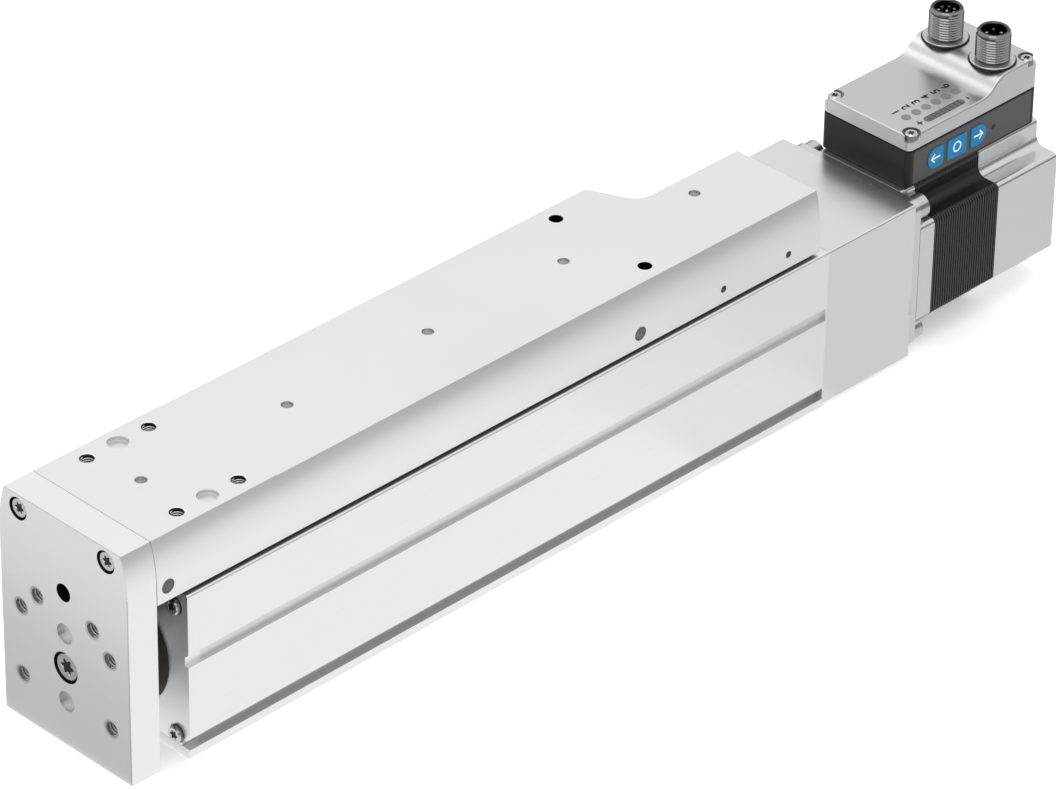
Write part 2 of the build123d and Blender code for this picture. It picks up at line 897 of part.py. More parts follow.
# Spindle with its stepped end
with BuildPart() as ball_screw:
    add(ring(spindle_front, bearing_front, spindle_radius, 0))
    tip_rim = ball_screw.edges().filter_by(GeomType.CIRCLE).group_by(Axis.X)[0]
    chamfer(tip_rim, spindle_chamfer)
    add(ring(bearing_front, bearing_rear + lock_nut_width, bearing_bore_radius, 0))
    add(ring(bearing_rear + lock_nut_width, hub_a_end - seat_gap, journal_radius, 0))
ball_screw.part.label = "ball_screw"
export_step(ball_screw.part, "parts/ball_screw.step")

# Guide: the rail hangs under the table, the blocks stand on the housing
with BuildPart() as guide_rail:
    with BuildSketch(yz(table_front)):
        add(rail_outline())
    extrude(amount=table_length)
    with BuildSketch(Plane.XY.offset(rail_low)):
        with Locations(*rail_screw_places):
            Circle(rail_screw_size / 2)
    extrude(amount=rail_height, mode=Mode.SUBTRACT)
    with BuildSketch(Plane.XY.offset(rail_low)):
        with Locations(*rail_screw_places):
            Circle(rail_counterbore / 2)
    extrude(amount=rail_counterbore_depth, mode=Mode.SUBTRACT)
guide_rail.part.label = "guide_rail"
export_step(guide_rail.part, "parts/guide_rail.step")

rail_screw_seat = rail_low + rail_counterbore_depth
rail_screw = socket_screw(
    rail_screw_size,
    table_top - rail_tip_depth - rail_screw_seat,
    rail_head_radius,
    rail_head_height,
)
with BuildPart(
    Plane(origin=(0, 0, rail_screw_seat), x_dir=(1, 0, 0), z_dir=(0, 0, -1))
) as rail_screws:
    with Locations(*rail_screw_places):
        add(rail_screw)
rail_screws.part.label = "rail_screws"
export_step(rail_screws.part, "parts/rail_screws.step")

# Guide blocks with their end caps, which grip the rail's waist
for index, start in enumerate(carriage_starts, start=1):
    with BuildPart() as guide_block:
        with BuildSketch(yz(start + carriage_end_cap)):
            with Locations((0, channel_floor)):
                Rectangle(
                    carriage_width,
                    carriage_top - channel_floor,
                    align=(Align.CENTER, Align.MIN),
                )
            add(rail_outline(guide_clearance), mode=Mode.SUBTRACT)
        extrude(amount=carriage_block)
        with BuildSketch(Plane.XY.offset(channel_floor)):
            with Locations(*carriage_bolt_places):
                Circle(carriage_bolt_size / 2)
        carriage_bolt_reach = carriage_bolt_length - carriage_bolt_seat
        extrude(amount=carriage_bolt_reach + thread_reserve, mode=Mode.SUBTRACT)
    guide_block.part.label = f"guide_block_{index}"
    export_step(guide_block.part, f"parts/guide_block_{index}.step")

with BuildPart() as guide_block_caps:
    for start in carriage_starts:
        for cap_start in (start, start + carriage_end_cap + carriage_block):
            with BuildSketch(yz(cap_start)):
                with Locations((0, channel_floor + carriage_cap_inset)):
                    Rectangle(
                        carriage_width - 2 * carriage_cap_inset,
                        carriage_top - channel_floor - 2 * carriage_cap_inset,
                        align=(Align.CENTER, Align.MIN),
                    )
                add(rail_outline(guide_clearance), mode=Mode.SUBTRACT)
            extrude(amount=carriage_end_cap)
guide_block_caps.part.label = "guide_block_caps"
export_step(guide_block_caps.part, "parts/guide_block_caps.step")

carriage_bolt = socket_screw(
    carriage_bolt_size, carriage_bolt_length, carriage_head_radius, carriage_head_height
)
with BuildPart(
    Plane(origin=(0, 0, channel_floor - carriage_bolt_seat), x_dir=(1, 0, 0), z_dir=(0, 0, -1))
) as guide_block_screws:
    with Locations(*carriage_bolt_places):
        add(carriage_bolt)
guide_block_screws.part.label = "guide_block_screws"
export_step(guide_block_screws.part, "parts/guide_block_screws.step")

# Coupling housing with the spindle bearing's seat and its centring spigot
with BuildPart() as coupling_housing:
    with BuildSketch(yz(rear)):
        with Locations((0, coupling_low)):
            Rectangle(
                housing_width,
                housing_height - coupling_low,
                align=(Align.CENTER, Align.MIN),
            )
    extrude(amount=coupling_length)
    long_edges = coupling_housing.edges().filter_by(Axis.X)
    fillet(long_edges, outer_edge_radius)
    coupling_rims = coupling_housing.faces().filter_by(Axis.X).edges()
    chamfer(coupling_rims, edge_break)
    add(ring(rear - spigot_length, rear, bore_radius - seat_gap, 0))
    add(
        ring(rear - spigot_length, bearing_front, spindle_radius + buffer_gap, 0),
        mode=Mode.SUBTRACT,
    )
    add(
        ring(bearing_front, bearing_rear, bearing_outer_radius + seat_gap, 0),
        mode=Mode.SUBTRACT,
    )
    add(ring(bearing_rear, coupling_rear, coupling_bore_radius, 0), mode=Mode.SUBTRACT)
    add(
        ring(coupling_rear - pilot_length - seat_gap, coupling_rear, pilot_radius + seat_gap, 0),
        mode=Mode.SUBTRACT,
    )
    with BuildSketch(yz(rear)):
        with Locations(*coupling_screw_places):
            Circle(coupling_screw_size / 2)
    extrude(amount=coupling_length, mode=Mode.SUBTRACT)
    with BuildSketch(yz(rear + coupling_head_seat)):
        with Locations(*coupling_screw_places):
            Circle(coupling_head_radius + seat_gap)
    extrude(amount=coupling_length, mode=Mode.SUBTRACT)
    with BuildSketch(yz(coupling_rear)):
        with Locations(*motor_screw_places):
            Circle(motor_screw_size / 2)
    extrude(amount=-(motor_screw_length - flange_thickness + thread_reserve), mode=Mode.SUBTRACT)
    with BuildSketch(yz(coupling_rear)):
        with Locations((-housing_width / 2, pry_slot_side_z)):
            Rectangle(2 * pry_slot_depth, pry_slot_length)
        with Locations((pry_slot_top_y, housing_height)):
            Rectangle(pry_slot_length, 2 * pry_slot_depth)
    extrude(amount=-pry_slot_width, mode=Mode.SUBTRACT)
coupling_housing.part.label = "coupling_housing"
export_step(coupling_housing.part, "parts/coupling_housing.step")

coupling_screw = socket_screw(
    coupling_screw_size,
    coupling_head_seat + coupling_screw_engagement - thread_reserve,
    coupling_head_radius,
    coupling_head_height,
)
with BuildPart(yz(rear + coupling_head_seat)) as coupling_housing_screws:
    with Locations(*coupling_screw_places):
        add(coupling_screw)
coupling_housing_screws.part.label = "coupling_housing_screws"
export_step(coupling_housing_screws.part, "parts/coupling_housing_screws.step")


def ball_ring(x, radius, ball_radius, count):
    """Bearing balls as a ring of spheres about the spindle axis."""
    with BuildPart(yz(x)) as balls:
        with Locations((0, axis_height)):
            with PolarLocations(radius, count):
                Sphere(ball_radius)
    return balls.part


def bearing_groove(x, radius, ball_radius):
    """The groove that a ring of balls runs in."""
    with BuildPart() as groove:
        with BuildSketch(Plane.XZ):
            with Locations((x, axis_height + radius)):
                Circle(ball_radius)
        revolve(axis=Axis((0, 0, axis_height), (1, 0, 0)))
    return groove.part


# Spindle bearing: two ball bearings side by side
spindle_ball_circle = (bearing_bore_radius + bearing_outer_radius) / 2
spindle_ball_radius = (bearing_outer_radius - bearing_bore_radius) / 2 - bearing_shoulder
bearing_centres = [bearing_front + (i + 0.5) * bearing_width for i in range(bearing_count)]
with BuildPart() as spindle_bearing_outer:
    for x in bearing_centres:
        half = bearing_width / 2
        add(ring(x - half, x + half, bearing_outer_radius, bearing_outer_radius - bearing_ring))
        add(
            bearing_groove(x, spindle_ball_circle, spindle_ball_radius + guide_clearance),
            mode=Mode.SUBTRACT,
        )
spindle_bearing_outer.part.label = "spindle_bearing_outer"
export_step(spindle_bearing_outer.part, "parts/spindle_bearing_outer.step")

with BuildPart() as spindle_bearing_inner:
    for x in bearing_centres:
        half = bearing_width / 2
        inner_radius = bearing_bore_radius + seat_gap
        add(ring(x - half, x + half, bearing_bore_radius + bearing_ring, inner_radius))
        add(
            bearing_groove(x, spindle_ball_circle, spindle_ball_radius + guide_clearance),
            mode=Mode.SUBTRACT,
        )
spindle_bearing_inner.part.label = "spindle_bearing_inner"
export_step(spindle_bearing_inner.part, "parts/spindle_bearing_inner.step")

with BuildPart() as spindle_bearing_balls:
    for x in bearing_centres:
        add(ball_ring(x, spindle_ball_circle, spindle_ball_radius, spindle_ball_count))
spindle_bearing_balls.part.label = "spindle_bearing_balls"
export_step(spindle_bearing_balls.part, "parts/spindle_bearing_balls.step")

with BuildPart() as bearing_retainer:
    add(
        ring(
            bearing_rear,
            bearing_rear + retainer_width,
            coupling_bore_radius - seat_gap,
            retainer_bore_radius,
        )
    )
bearing_retainer.part.label = "bearing_retainer"
export_step(bearing_retainer.part, "parts/bearing_retainer.step")

with BuildPart() as spindle_lock_nut:
    add(
        ring(
            bearing_rear,
            bearing_rear + lock_nut_width,
            lock_nut_radius,
            bearing_bore_radius + seat_gap,
        )
    )
    with BuildSketch(yz(bearing_rear + lock_nut_width)):
        with Locations((0, axis_height)):
            with PolarLocations(lock_nut_radius, lock_nut_slots):
                Rectangle(2 * lock_nut_slot, 2 * lock_nut_slot)
    extrude(amount=-lock_nut_width, mode=Mode.SUBTRACT)
spindle_lock_nut.part.label = "spindle_lock_nut"
export_step(spindle_lock_nut.part, "parts/spindle_lock_nut.step")

# Shaft coupling: two clawed hubs with a star between them
with BuildPart() as spindle_hub:
    add(ring(hub_a_start, hub_a_end, hub_radius, journal_radius + seat_gap))
    with BuildSketch(yz(hub_a_end)):
        with Locations((0, axis_height)):
            add(jaw_sketch(0))
    extrude(amount=jaw_length - jaw_end_gap)
spindle_hub.part.label = "spindle_hub"
export_step(spindle_hub.part, "parts/spindle_hub.step")

with BuildPart() as motor_hub:
    add(ring(hub_b_start, hub_b_end, hub_radius, shaft_radius + seat_gap))
    with BuildSketch(yz(hub_b_start)):
        with Locations((0, axis_height)):
            add(jaw_sketch(180 / jaw_count))
    extrude(amount=-(jaw_length - jaw_end_gap))
motor_hub.part.label = "motor_hub"
export_step(motor_hub.part, "parts/motor_hub.step")

with BuildPart() as coupling_star:
    with BuildSketch(yz(hub_a_end + jaw_end_gap / 2)):
        with Locations((0, axis_height)):
            Circle(hub_radius)
            add(jaw_sketch(0), mode=Mode.SUBTRACT)
            add(jaw_sketch(180 / jaw_count), mode=Mode.SUBTRACT)
            Circle(shaft_radius, mode=Mode.SUBTRACT)
    extrude(amount=jaw_length - jaw_end_gap)
coupling_star.part.label = "coupling_star"
export_step(coupling_star.part, "parts/coupling_star.step")

# Motor front flange with its cast bell
bearing_pocket = motor_bearing_radius + seat_gap
with BuildPart() as motor_flange:
    with BuildSketch(yz(coupling_rear)):
        with Locations((0, axis_height)):
            RectangleRounded(2 * motor_half, 2 * motor_half, flange_corner)
    extrude(amount=flange_thickness)
    flange_rims = motor_flange.faces().filter_by(Axis.X).edges()
    chamfer(flange_rims, edge_break)
    with BuildSketch(yz(flange_rear)):
        add(motor_section(motor_half, motor_arm_half))
    extrude(amount=bell_length)
    add(ring(coupling_rear - pilot_length, coupling_rear, pilot_radius, 0))
    add(
        ring(coupling_rear - pilot_length, coupling_rear + pilot_length, pilot_bore_radius, 0),
        mode=Mode.SUBTRACT,
    )
    add(ring(coupling_rear, bell_rear, shaft_hole_radius, 0), mode=Mode.SUBTRACT)
    add(ring(bell_rear - motor_bearing_width, bell_rear, bearing_pocket, 0), mode=Mode.SUBTRACT)
    with BuildSketch(yz(coupling_rear)):
        with Locations(*motor_screw_places):
            Circle(motor_screw_size / 2)
    extrude(amount=flange_thickness, mode=Mode.SUBTRACT)
motor_flange.part.label = "motor_flange"
export_step(motor_flange.part, "parts/motor_flange.step")

motor_screw = socket_screw(
    motor_screw_size, motor_screw_length, motor_head_radius, motor_head_height
)
with BuildPart(yz(flange_rear)) as motor_screws:
    with Locations(*motor_screw_places):
        add(motor_screw)
motor_screws.part.label = "motor_screws"
export_step(motor_screws.part, "parts/motor_screws.step")

# Stator stack, rotor and shaft
with BuildPart() as stator:
    with BuildSketch(yz(bell_rear)):
        add(motor_section(motor_half, motor_arm_half))
        with Locations((0, axis_height)):
            Circle(stator_bore_radius, mode=Mode.SUBTRACT)
    extrude(amount=stator_length)
stator.part.label = "stator"
export_step(stator.part, "parts/stator.step")

with BuildPart() as rotor:
    with BuildSketch(yz(bell_rear + rotor_inset)):
        with Locations((0, axis_height)):
            Circle(stator_bore_radius - air_gap)
            Circle(shaft_radius + seat_gap, mode=Mode.SUBTRACT)
    extrude(amount=stator_length - 2 * rotor_inset)
rotor.part.label = "rotor"
export_step(rotor.part, "parts/rotor.step")

shaft_start = hub_b_start + seat_gap
shaft_end = stator_rear + motor_bearing_width + shaft_tail
with BuildPart() as motor_shaft:
    add(ring(shaft_start, shaft_end, shaft_radius, 0))
    chamfer(motor_shaft.edges().filter_by(GeomType.CIRCLE), shaft_chamfer)
motor_shaft.part.label = "motor_shaft"
export_step(motor_shaft.part, "parts/motor_shaft.step")

motor_bearing_centres = [
    bell_rear - motor_bearing_width / 2,
    stator_rear + motor_bearing_width / 2,
]
motor_ball_circle = (shaft_radius + motor_bearing_radius) / 2
motor_ball_radius = (motor_bearing_radius - shaft_radius) / 2 - motor_bearing_shoulder
with BuildPart() as motor_bearing_outer:
    for x in motor_bearing_centres:
        half = motor_bearing_width / 2
        inner_edge = motor_bearing_radius - motor_bearing_ring
        add(ring(x - half, x + half, motor_bearing_radius, inner_edge))
        add(
            bearing_groove(x, motor_ball_circle, motor_ball_radius + guide_clearance),
            mode=Mode.SUBTRACT,
        )
motor_bearing_outer.part.label = "motor_bearing_outer"
export_step(motor_bearing_outer.part, "parts/motor_bearing_outer.step")

with BuildPart() as motor_bearing_inner:
    for x in motor_bearing_centres:
        half = motor_bearing_width / 2
        outer_edge = shaft_radius + motor_bearing_ring
        add(ring(x - half, x + half, outer_edge, shaft_radius + seat_gap))
        add(
            bearing_groove(x, motor_ball_circle, motor_ball_radius + guide_clearance),
            mode=Mode.SUBTRACT,
        )
motor_bearing_inner.part.label = "motor_bearing_inner"
export_step(motor_bearing_inner.part, "parts/motor_bearing_inner.step")

with BuildPart() as motor_bearing_balls:
    for x in motor_bearing_centres:
        add(ball_ring(x, motor_ball_circle, motor_ball_radius, motor_ball_count))
motor_bearing_balls.part.label = "motor_bearing_balls"
export_step(motor_bearing_balls.part, "parts/motor_bearing_balls.step")

# Rear housing with the encoder, closed by the end plate
with BuildPart() as motor_rear_housing:
    with BuildSketch(yz(stator_rear)):
        add(motor_section(motor_half, motor_arm_half))
    extrude(amount=rear_housing_length)
    add(
        ring(stator_rear, stator_rear + motor_bearing_width, bearing_pocket, 0),
        mode=Mode.SUBTRACT,
    )
    add(
        ring(
            stator_rear + motor_bearing_width + encoder_shoulder,
            rear_housing_rear,
            encoder_board_radius + seat_gap,
            0,
        ),
        mode=Mode.SUBTRACT,
    )
    add(ring(stator_rear, rear_housing_rear, shaft_hole_radius, 0), mode=Mode.SUBTRACT)
    with BuildSketch(yz(rear_housing_rear)):
        with Locations(*end_screw_places):
            Circle(end_screw_size / 2)
    end_screw_reach = end_screw_length + end_head_height - end_plate_length
    extrude(amount=-(end_screw_reach + thread_reserve), mode=Mode.SUBTRACT)
motor_rear_housing.part.label = "motor_rear_housing"
export_step(motor_rear_housing.part, "parts/motor_rear_housing.step")

with BuildPart() as motor_end_plate:
    with BuildSketch(yz(rear_housing_rear)):
        add(motor_section(motor_half, motor_arm_half))
        with Locations(*end_screw_places):
            Circle(end_screw_size / 2, mode=Mode.SUBTRACT)
    extrude(amount=end_plate_length)
    outer_rim = motor_end_plate.faces().sort_by(Axis.X)[-1].outer_wire().edges()
    chamfer(outer_rim, end_plate_chamfer)
    with BuildSketch(yz(motor_rear)):
        with Locations(*end_screw_places):
            Circle(end_head_radius + seat_gap)
    extrude(amount=-end_head_height, mode=Mode.SUBTRACT)
motor_end_plate.part.label = "motor_end_plate"
export_step(motor_end_plate.part, "parts/motor_end_plate.step")

end_screw = socket_screw(end_screw_size, end_screw_length, end_head_radius, end_head_height)
with BuildPart(yz(motor_rear - end_head_height)) as end_plate_screws:
    with Locations(*end_screw_places):
        add(end_screw)
end_plate_screws.part.label = "end_plate_screws"
export_step(end_plate_screws.part, "parts/end_plate_screws.step")

with BuildPart() as encoder_magnet:
    add(ring(shaft_end, shaft_end + encoder_thickness, encoder_radius / 2, 0))
encoder_magnet.part.label = "encoder_magnet"
export_step(encoder_magnet.part, "parts/encoder_magnet.step")

with BuildPart() as encoder_board:
    board_rear = rear_housing_rear
    add(ring(board_rear - board_thickness, board_rear, encoder_board_radius, 0))
    add(
        ring(
            shaft_end + encoder_thickness + encoder_gap,
            board_rear - board_thickness,
            encoder_radius / 2,
            0,
        )
    )
encoder_board.part.label = "encoder_board"
export_step(encoder_board.part, "parts/encoder_board.step")


def drive_outline(inset):
    """The drive unit's outline from above, drawn in by the given inset."""
    with BuildSketch(Plane.XY) as outline:
        with Locations((drive_centre, 0)):
            RectangleRounded(
                drive_length - 2 * inset,
                2 * drive_half - 2 * inset,
                max(drive_corner - inset, drive_cavity_corner),
            )
    return outline.sketch


def key_outline(number, grow):
    """One key of three: the outer two are rounded at their outer end."""
    lengths = (key_side_length, key_middle_length, key_side_length)
    start = drive_front + key_first_x + sum(lengths[:number]) + number * key_gap
    length = lengths[number]
    with BuildSketch(Plane.XY) as outline:
        with Locations((start + length / 2, key_z)):
            RectangleRounded(length, key_height, key_corner)
        if number != 1:
            side = number - 1
            round_x = start + length / 2 + side * (length - key_height) / 2
            with Locations((round_x + side * key_height / 2, key_z)):
                Rectangle(key_height, 2 * key_height, mode=Mode.SUBTRACT)
            with Locations((round_x, key_z)):
                Circle(key_height / 2)
        if grow > 0:
            offset(amount=grow)
    return outline.sketch


def post(place, low, high, radius):
    """An upright round post at a place seen from above."""
    with BuildPart() as body:
        with BuildSketch(Plane.XY.offset(low)):
            with Locations(place):
                Circle(radius)
        extrude(amount=high - low)
    return body.part


panel_plane = Plane.XZ.offset(drive_half)
panel_middle = (panel_low + panel_high) / 2

# Drive box on the motor's neck, open at the top
with BuildPart() as drive_box:
    with BuildSketch(Plane.XY.offset(drive_low)):
        add(drive_outline(0))
    extrude(amount=drive_box_high - drive_low)
    under = drive_box.faces().sort_by(Axis.Z)[0].outer_wire().edges()
    fillet(under, cover_edge_round)
    with BuildSketch(Plane.XY.offset(drive_low + drive_floor)):
        add(drive_outline(drive_wall))
        with Locations(*drive_screw_places):
            Circle(drive_post_radius, mode=Mode.SUBTRACT)
    extrude(amount=drive_box_high - drive_low, mode=Mode.SUBTRACT)
    with BuildSketch(Plane.XY.offset(drive_box_high)):
        with Locations(*drive_screw_places):
            Circle(drive_screw_size / 2)
    extrude(amount=-(drive_screw_engagement + thread_reserve), mode=Mode.SUBTRACT)
    with BuildSketch(Plane.XY.offset(drive_low + drive_floor)):
        with Locations((drive_centre, 0)):
            with GridLocations(
                drive_board_length - 4 * board_pillar_radius,
                2 * (drive_half - drive_wall - 2 * board_pillar_radius),
                2,
                2,
            ):
                Circle(board_pillar_radius)
    extrude(amount=drive_board_rise)
    with BuildSketch(panel_plane):
        with Locations((drive_centre, panel_middle)):
            RectangleRounded(
                drive_length - 2 * panel_inset + 2 * seat_gap,
                panel_high - panel_low + 2 * seat_gap,
                key_corner,
            )
    extrude(amount=-panel_thickness, mode=Mode.SUBTRACT)
    with BuildSketch(panel_plane.offset(-panel_thickness)):
        for number in range(3):
            add(key_outline(number, key_rim + key_clearance))
    extrude(amount=-(key_rim_thickness + key_travel + key_well_reserve), mode=Mode.SUBTRACT)
drive_box.part.label = "drive_box"
export_step(drive_box.part, "parts/drive_box.step")

with BuildPart() as drive_board:
    board_low = drive_low + drive_floor + drive_board_rise
    with BuildSketch(Plane.XY.offset(board_low)):
        with Locations((drive_centre, 0)):
            Rectangle(
                drive_board_length,
                2 * (drive_half - drive_wall - drive_board_margin),
            )
    extrude(amount=board_thickness)
drive_board.part.label = "drive_board"
export_step(drive_board.part, "parts/drive_board.step")

with BuildPart() as drive_gasket:
    with BuildSketch(Plane.XY.offset(drive_box_high)):
        add(drive_outline(gasket_inset))
        add(drive_outline(gasket_inset + gasket_width), mode=Mode.SUBTRACT)
        with Locations(*drive_screw_places):
            Circle(drive_screw_size / 2 + seat_gap, mode=Mode.SUBTRACT)
    extrude(amount=gasket_thickness)
drive_gasket.part.label = "drive_gasket"
export_step(drive_gasket.part, "parts/drive_gasket.step")

# Cast drive cover: a low front with lamps, an S-shaped ramp, a raised rear
ramp_low = drive_front + cover_ramp_start
ramp_high = drive_front + cover_ramp_end
ramp_middle = ((ramp_low + ramp_high) / 2, (cover_step + cover_high) / 2)
with BuildPart() as drive_cover:
    with BuildSketch(Plane.XZ):
        with BuildLine():
            Polyline(
                (ramp_low, cover_step),
                (drive_front, cover_step),
                (drive_front, cover_low),
                (drive_rear, cover_low),
                (drive_rear, cover_high),
                (ramp_high, cover_high),
            )
            TangentArc((ramp_low, cover_step), ramp_middle, tangent=(1, 0))
            TangentArc((ramp_high, cover_high), ramp_middle, tangent=(-1, 0))
        make_face()
    extrude(amount=drive_half, both=True)
    fillet(drive_cover.edges().filter_by(Axis.Z), drive_corner)
    upper_faces = drive_cover.faces().filter_by(
        lambda f: f.normal_at(f.center()).Z > upward_slope
    )
    crest = upper_faces.edges().filter_by(
        lambda e: abs(e.center().Y) > drive_corner
        or abs(e.center().X - drive_centre) > drive_length / 2 - drive_corner
    )
    fillet(crest, cover_edge_round)
    with BuildSketch(Plane.XY.offset(cover_low)):
        add(drive_outline(drive_wall))
        with Locations(*drive_screw_places):
            Circle(drive_post_radius, mode=Mode.SUBTRACT)
    extrude(amount=cover_low_height - cover_wall, mode=Mode.SUBTRACT)
    with BuildSketch(Plane.XY.offset(cover_low)):
        cavity_front = ramp_high + cover_cavity_back
        cavity_length = drive_rear - drive_wall - cavity_front
        with Locations((cavity_front + cavity_length / 2, 0)):
            Rectangle(cavity_length, 2 * (drive_half - drive_wall))
        with Locations(*drive_screw_places):
            Circle(drive_post_radius, mode=Mode.SUBTRACT)
    extrude(amount=cover_high - cover_wall - cover_low, mode=Mode.SUBTRACT)
    for place in drive_screw_places:
        forward = place[0] < drive_centre
        level = cover_step if forward else cover_high
        side = 1 if place[1] > 0 else -1
        out = -1 if forward else 1
        add(post(place, cover_low, cover_high, drive_screw_size / 2), mode=Mode.SUBTRACT)
        add(
            post(place, level - drive_pocket_depth, cover_high, drive_pocket_radius),
            mode=Mode.SUBTRACT,
        )
        with BuildSketch(Plane.XY.offset(level - drive_pocket_depth)):
            with Locations(
                (place[0] + out * drive_screw_inset_x, place[1] + side * drive_screw_inset_y)
            ):
                Rectangle(2 * drive_screw_inset_x, 2 * drive_screw_inset_y)
        extrude(amount=cover_high, mode=Mode.SUBTRACT)
    for place in connector_places:
        add(
            post(place, cover_low, cover_high, connector_stem_radius + seat_gap),
            mode=Mode.SUBTRACT,
        )
    with BuildSketch(Plane.XY.offset(cover_step)):
        with Locations(*lamp_places):
            Circle(lamp_radius + seat_gap)
        with Locations(bar_place):
            SlotOverall(bar_length + 2 * seat_gap, bar_width + 2 * seat_gap)
    extrude(amount=-cover_wall, mode=Mode.SUBTRACT)
drive_cover.part.label = "drive_cover"
export_step(drive_cover.part, "parts/drive_cover.step")

# Cover screws in the open corner pockets
with BuildPart() as drive_cover_screws:
    for place in drive_screw_places:
        level = cover_step if place[0] < drive_centre else cover_high
        seat = level - drive_pocket_depth
        screw = socket_screw(
            drive_screw_size,
            seat - drive_box_high + drive_screw_engagement,
            drive_head_radius,
            drive_head_height,
        )
        with Locations((place[0], place[1], seat)):
            add(screw)
drive_cover_screws.part.label = "drive_cover_screws"
export_step(drive_cover_screws.part, "parts/drive_cover_screws.step")

# Lamp lenses in the cover's roof and the panel, and the segmented level bar
with BuildPart() as lamp_lenses:
    with BuildSketch(Plane.XY.offset(cover_step - cover_wall)):
        with Locations(*lamp_places):
            Circle(lamp_radius)
    extrude(amount=cover_wall + lamp_proud)
    with BuildSketch(panel_plane.offset(lamp_proud)):
        with Locations((drive_front + status_lamp_x, key_z)):
            Circle(status_lamp_radius)
    extrude(amount=-(lamp_proud + panel_thickness))
lamp_lenses.part.label = "lamp_lenses"
export_step(lamp_lenses.part, "parts/lamp_lenses.step")

with BuildPart() as level_bar_lenses:
    with BuildSketch(Plane.XY.offset(cover_step - cover_wall)):
        with Locations(bar_place):
            SlotOverall(bar_length, bar_width)
            segment = bar_length / bar_segments
            with GridLocations(segment, 1, bar_segments - 1, 1):
                Rectangle(bar_gap, bar_width + cut_beyond, mode=Mode.SUBTRACT)
    extrude(amount=cover_wall + lamp_proud)
level_bar_lenses.part.label = "level_bar_lenses"
export_step(level_bar_lenses.part, "parts/level_bar_lenses.step")

# Round plug connectors: one for signals, one for power
pin_sets = [
    (connector_places[0], signal_pin_circle, signal_pin_count),
    (connector_places[1], power_pin_circle, power_pin_count),
]
connector_top = cover_high + connector_height
connector_low = cover_high - connector_stem_length
insert_top = connector_top - connector_well
for name, place in zip(("signal_connector_shell", "power_connector_shell"), connector_places):
    with BuildPart() as connector_shell:
        add(post(place, connector_low, cover_high, connector_stem_radius))
        add(post(place, cover_high, cover_high + connector_foot_height, connector_foot_radius))
        add(post(place, cover_high, connector_top, connector_thread_radius))
        top_rim = connector_shell.faces().sort_by(Axis.Z)[-1].edges()
        chamfer(top_rim, connector_thread_chamfer)
        add(post(place, connector_low, connector_top, connector_bore_radius), mode=Mode.SUBTRACT)
    connector_shell.part.label = name
    export_step(connector_shell.part, f"parts/{name}.step")

with BuildPart() as connector_inserts:
    for place, circle, count in pin_sets:
        add(post(place, connector_low, insert_top, connector_bore_radius - seat_gap))
        with BuildSketch(Plane.XY.offset(insert_top)):
            with Locations(place):
                with PolarLocations(circle, count, start_angle=180 / count):
                    Circle(pin_radius)
        extrude(amount=-pin_root, mode=Mode.SUBTRACT)
connector_inserts.part.label = "connector_inserts"
export_step(connector_inserts.part, "parts/connector_inserts.step")

with BuildPart() as connector_pins:
    for place, circle, count in pin_sets:
        with BuildSketch(Plane.XY.offset(insert_top - pin_root)):
            with Locations(place):
                with PolarLocations(circle, count, start_angle=180 / count):
                    Circle(pin_radius)
        extrude(amount=pin_root + pin_height)
connector_pins.part.label = "connector_pins"
export_step(connector_pins.part, "parts/connector_pins.step")

with BuildPart() as connector_seals:
    with BuildSketch(Plane.XY.offset(cover_high)):
        with Locations(*connector_places):
            Circle(connector_ring_radius)
            Circle(connector_foot_radius + seat_gap, mode=Mode.SUBTRACT)
    extrude(amount=connector_ring_height)
connector_seals.part.label = "connector_seals"
export_step(connector_seals.part, "parts/connector_seals.step")

# Control panel with its three keys and the status lamp
with BuildPart() as control_panel:
    with BuildSketch(panel_plane):
        with Locations((drive_centre, panel_middle)):
            RectangleRounded(
                drive_length - 2 * panel_inset,
                panel_high - panel_low,
                key_corner,
            )
        for number in range(3):
            add(key_outline(number, key_clearance), mode=Mode.SUBTRACT)
        with Locations((drive_front + status_lamp_x, key_z)):
            Circle(status_lamp_radius + seat_gap, mode=Mode.SUBTRACT)
    extrude(amount=-panel_thickness)
control_panel.part.label = "control_panel"
export_step(control_panel.part, "parts/control_panel.step")

for number, name in enumerate(("key_left", "key_middle", "key_right")):
    with BuildPart() as key:
        with BuildSketch(panel_plane.offset(key_proud)):
            add(key_outline(number, 0))
        extrude(amount=-(key_proud + panel_thickness))
        with BuildSketch(panel_plane.offset(-panel_thickness)):
            add(key_outline(number, key_rim))
        extrude(amount=-key_rim_thickness)
    key.part.label = name
    export_step(key.part, f"parts/{name}.step")
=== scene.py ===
"""Dresses the electric mini slide: finishes for its solids, and the fine pieces they carry."""

import logging
import math
from dataclasses import dataclass, field, replace
from enum import Enum

import bmesh
import bpy
from mathutils import Matrix, Vector


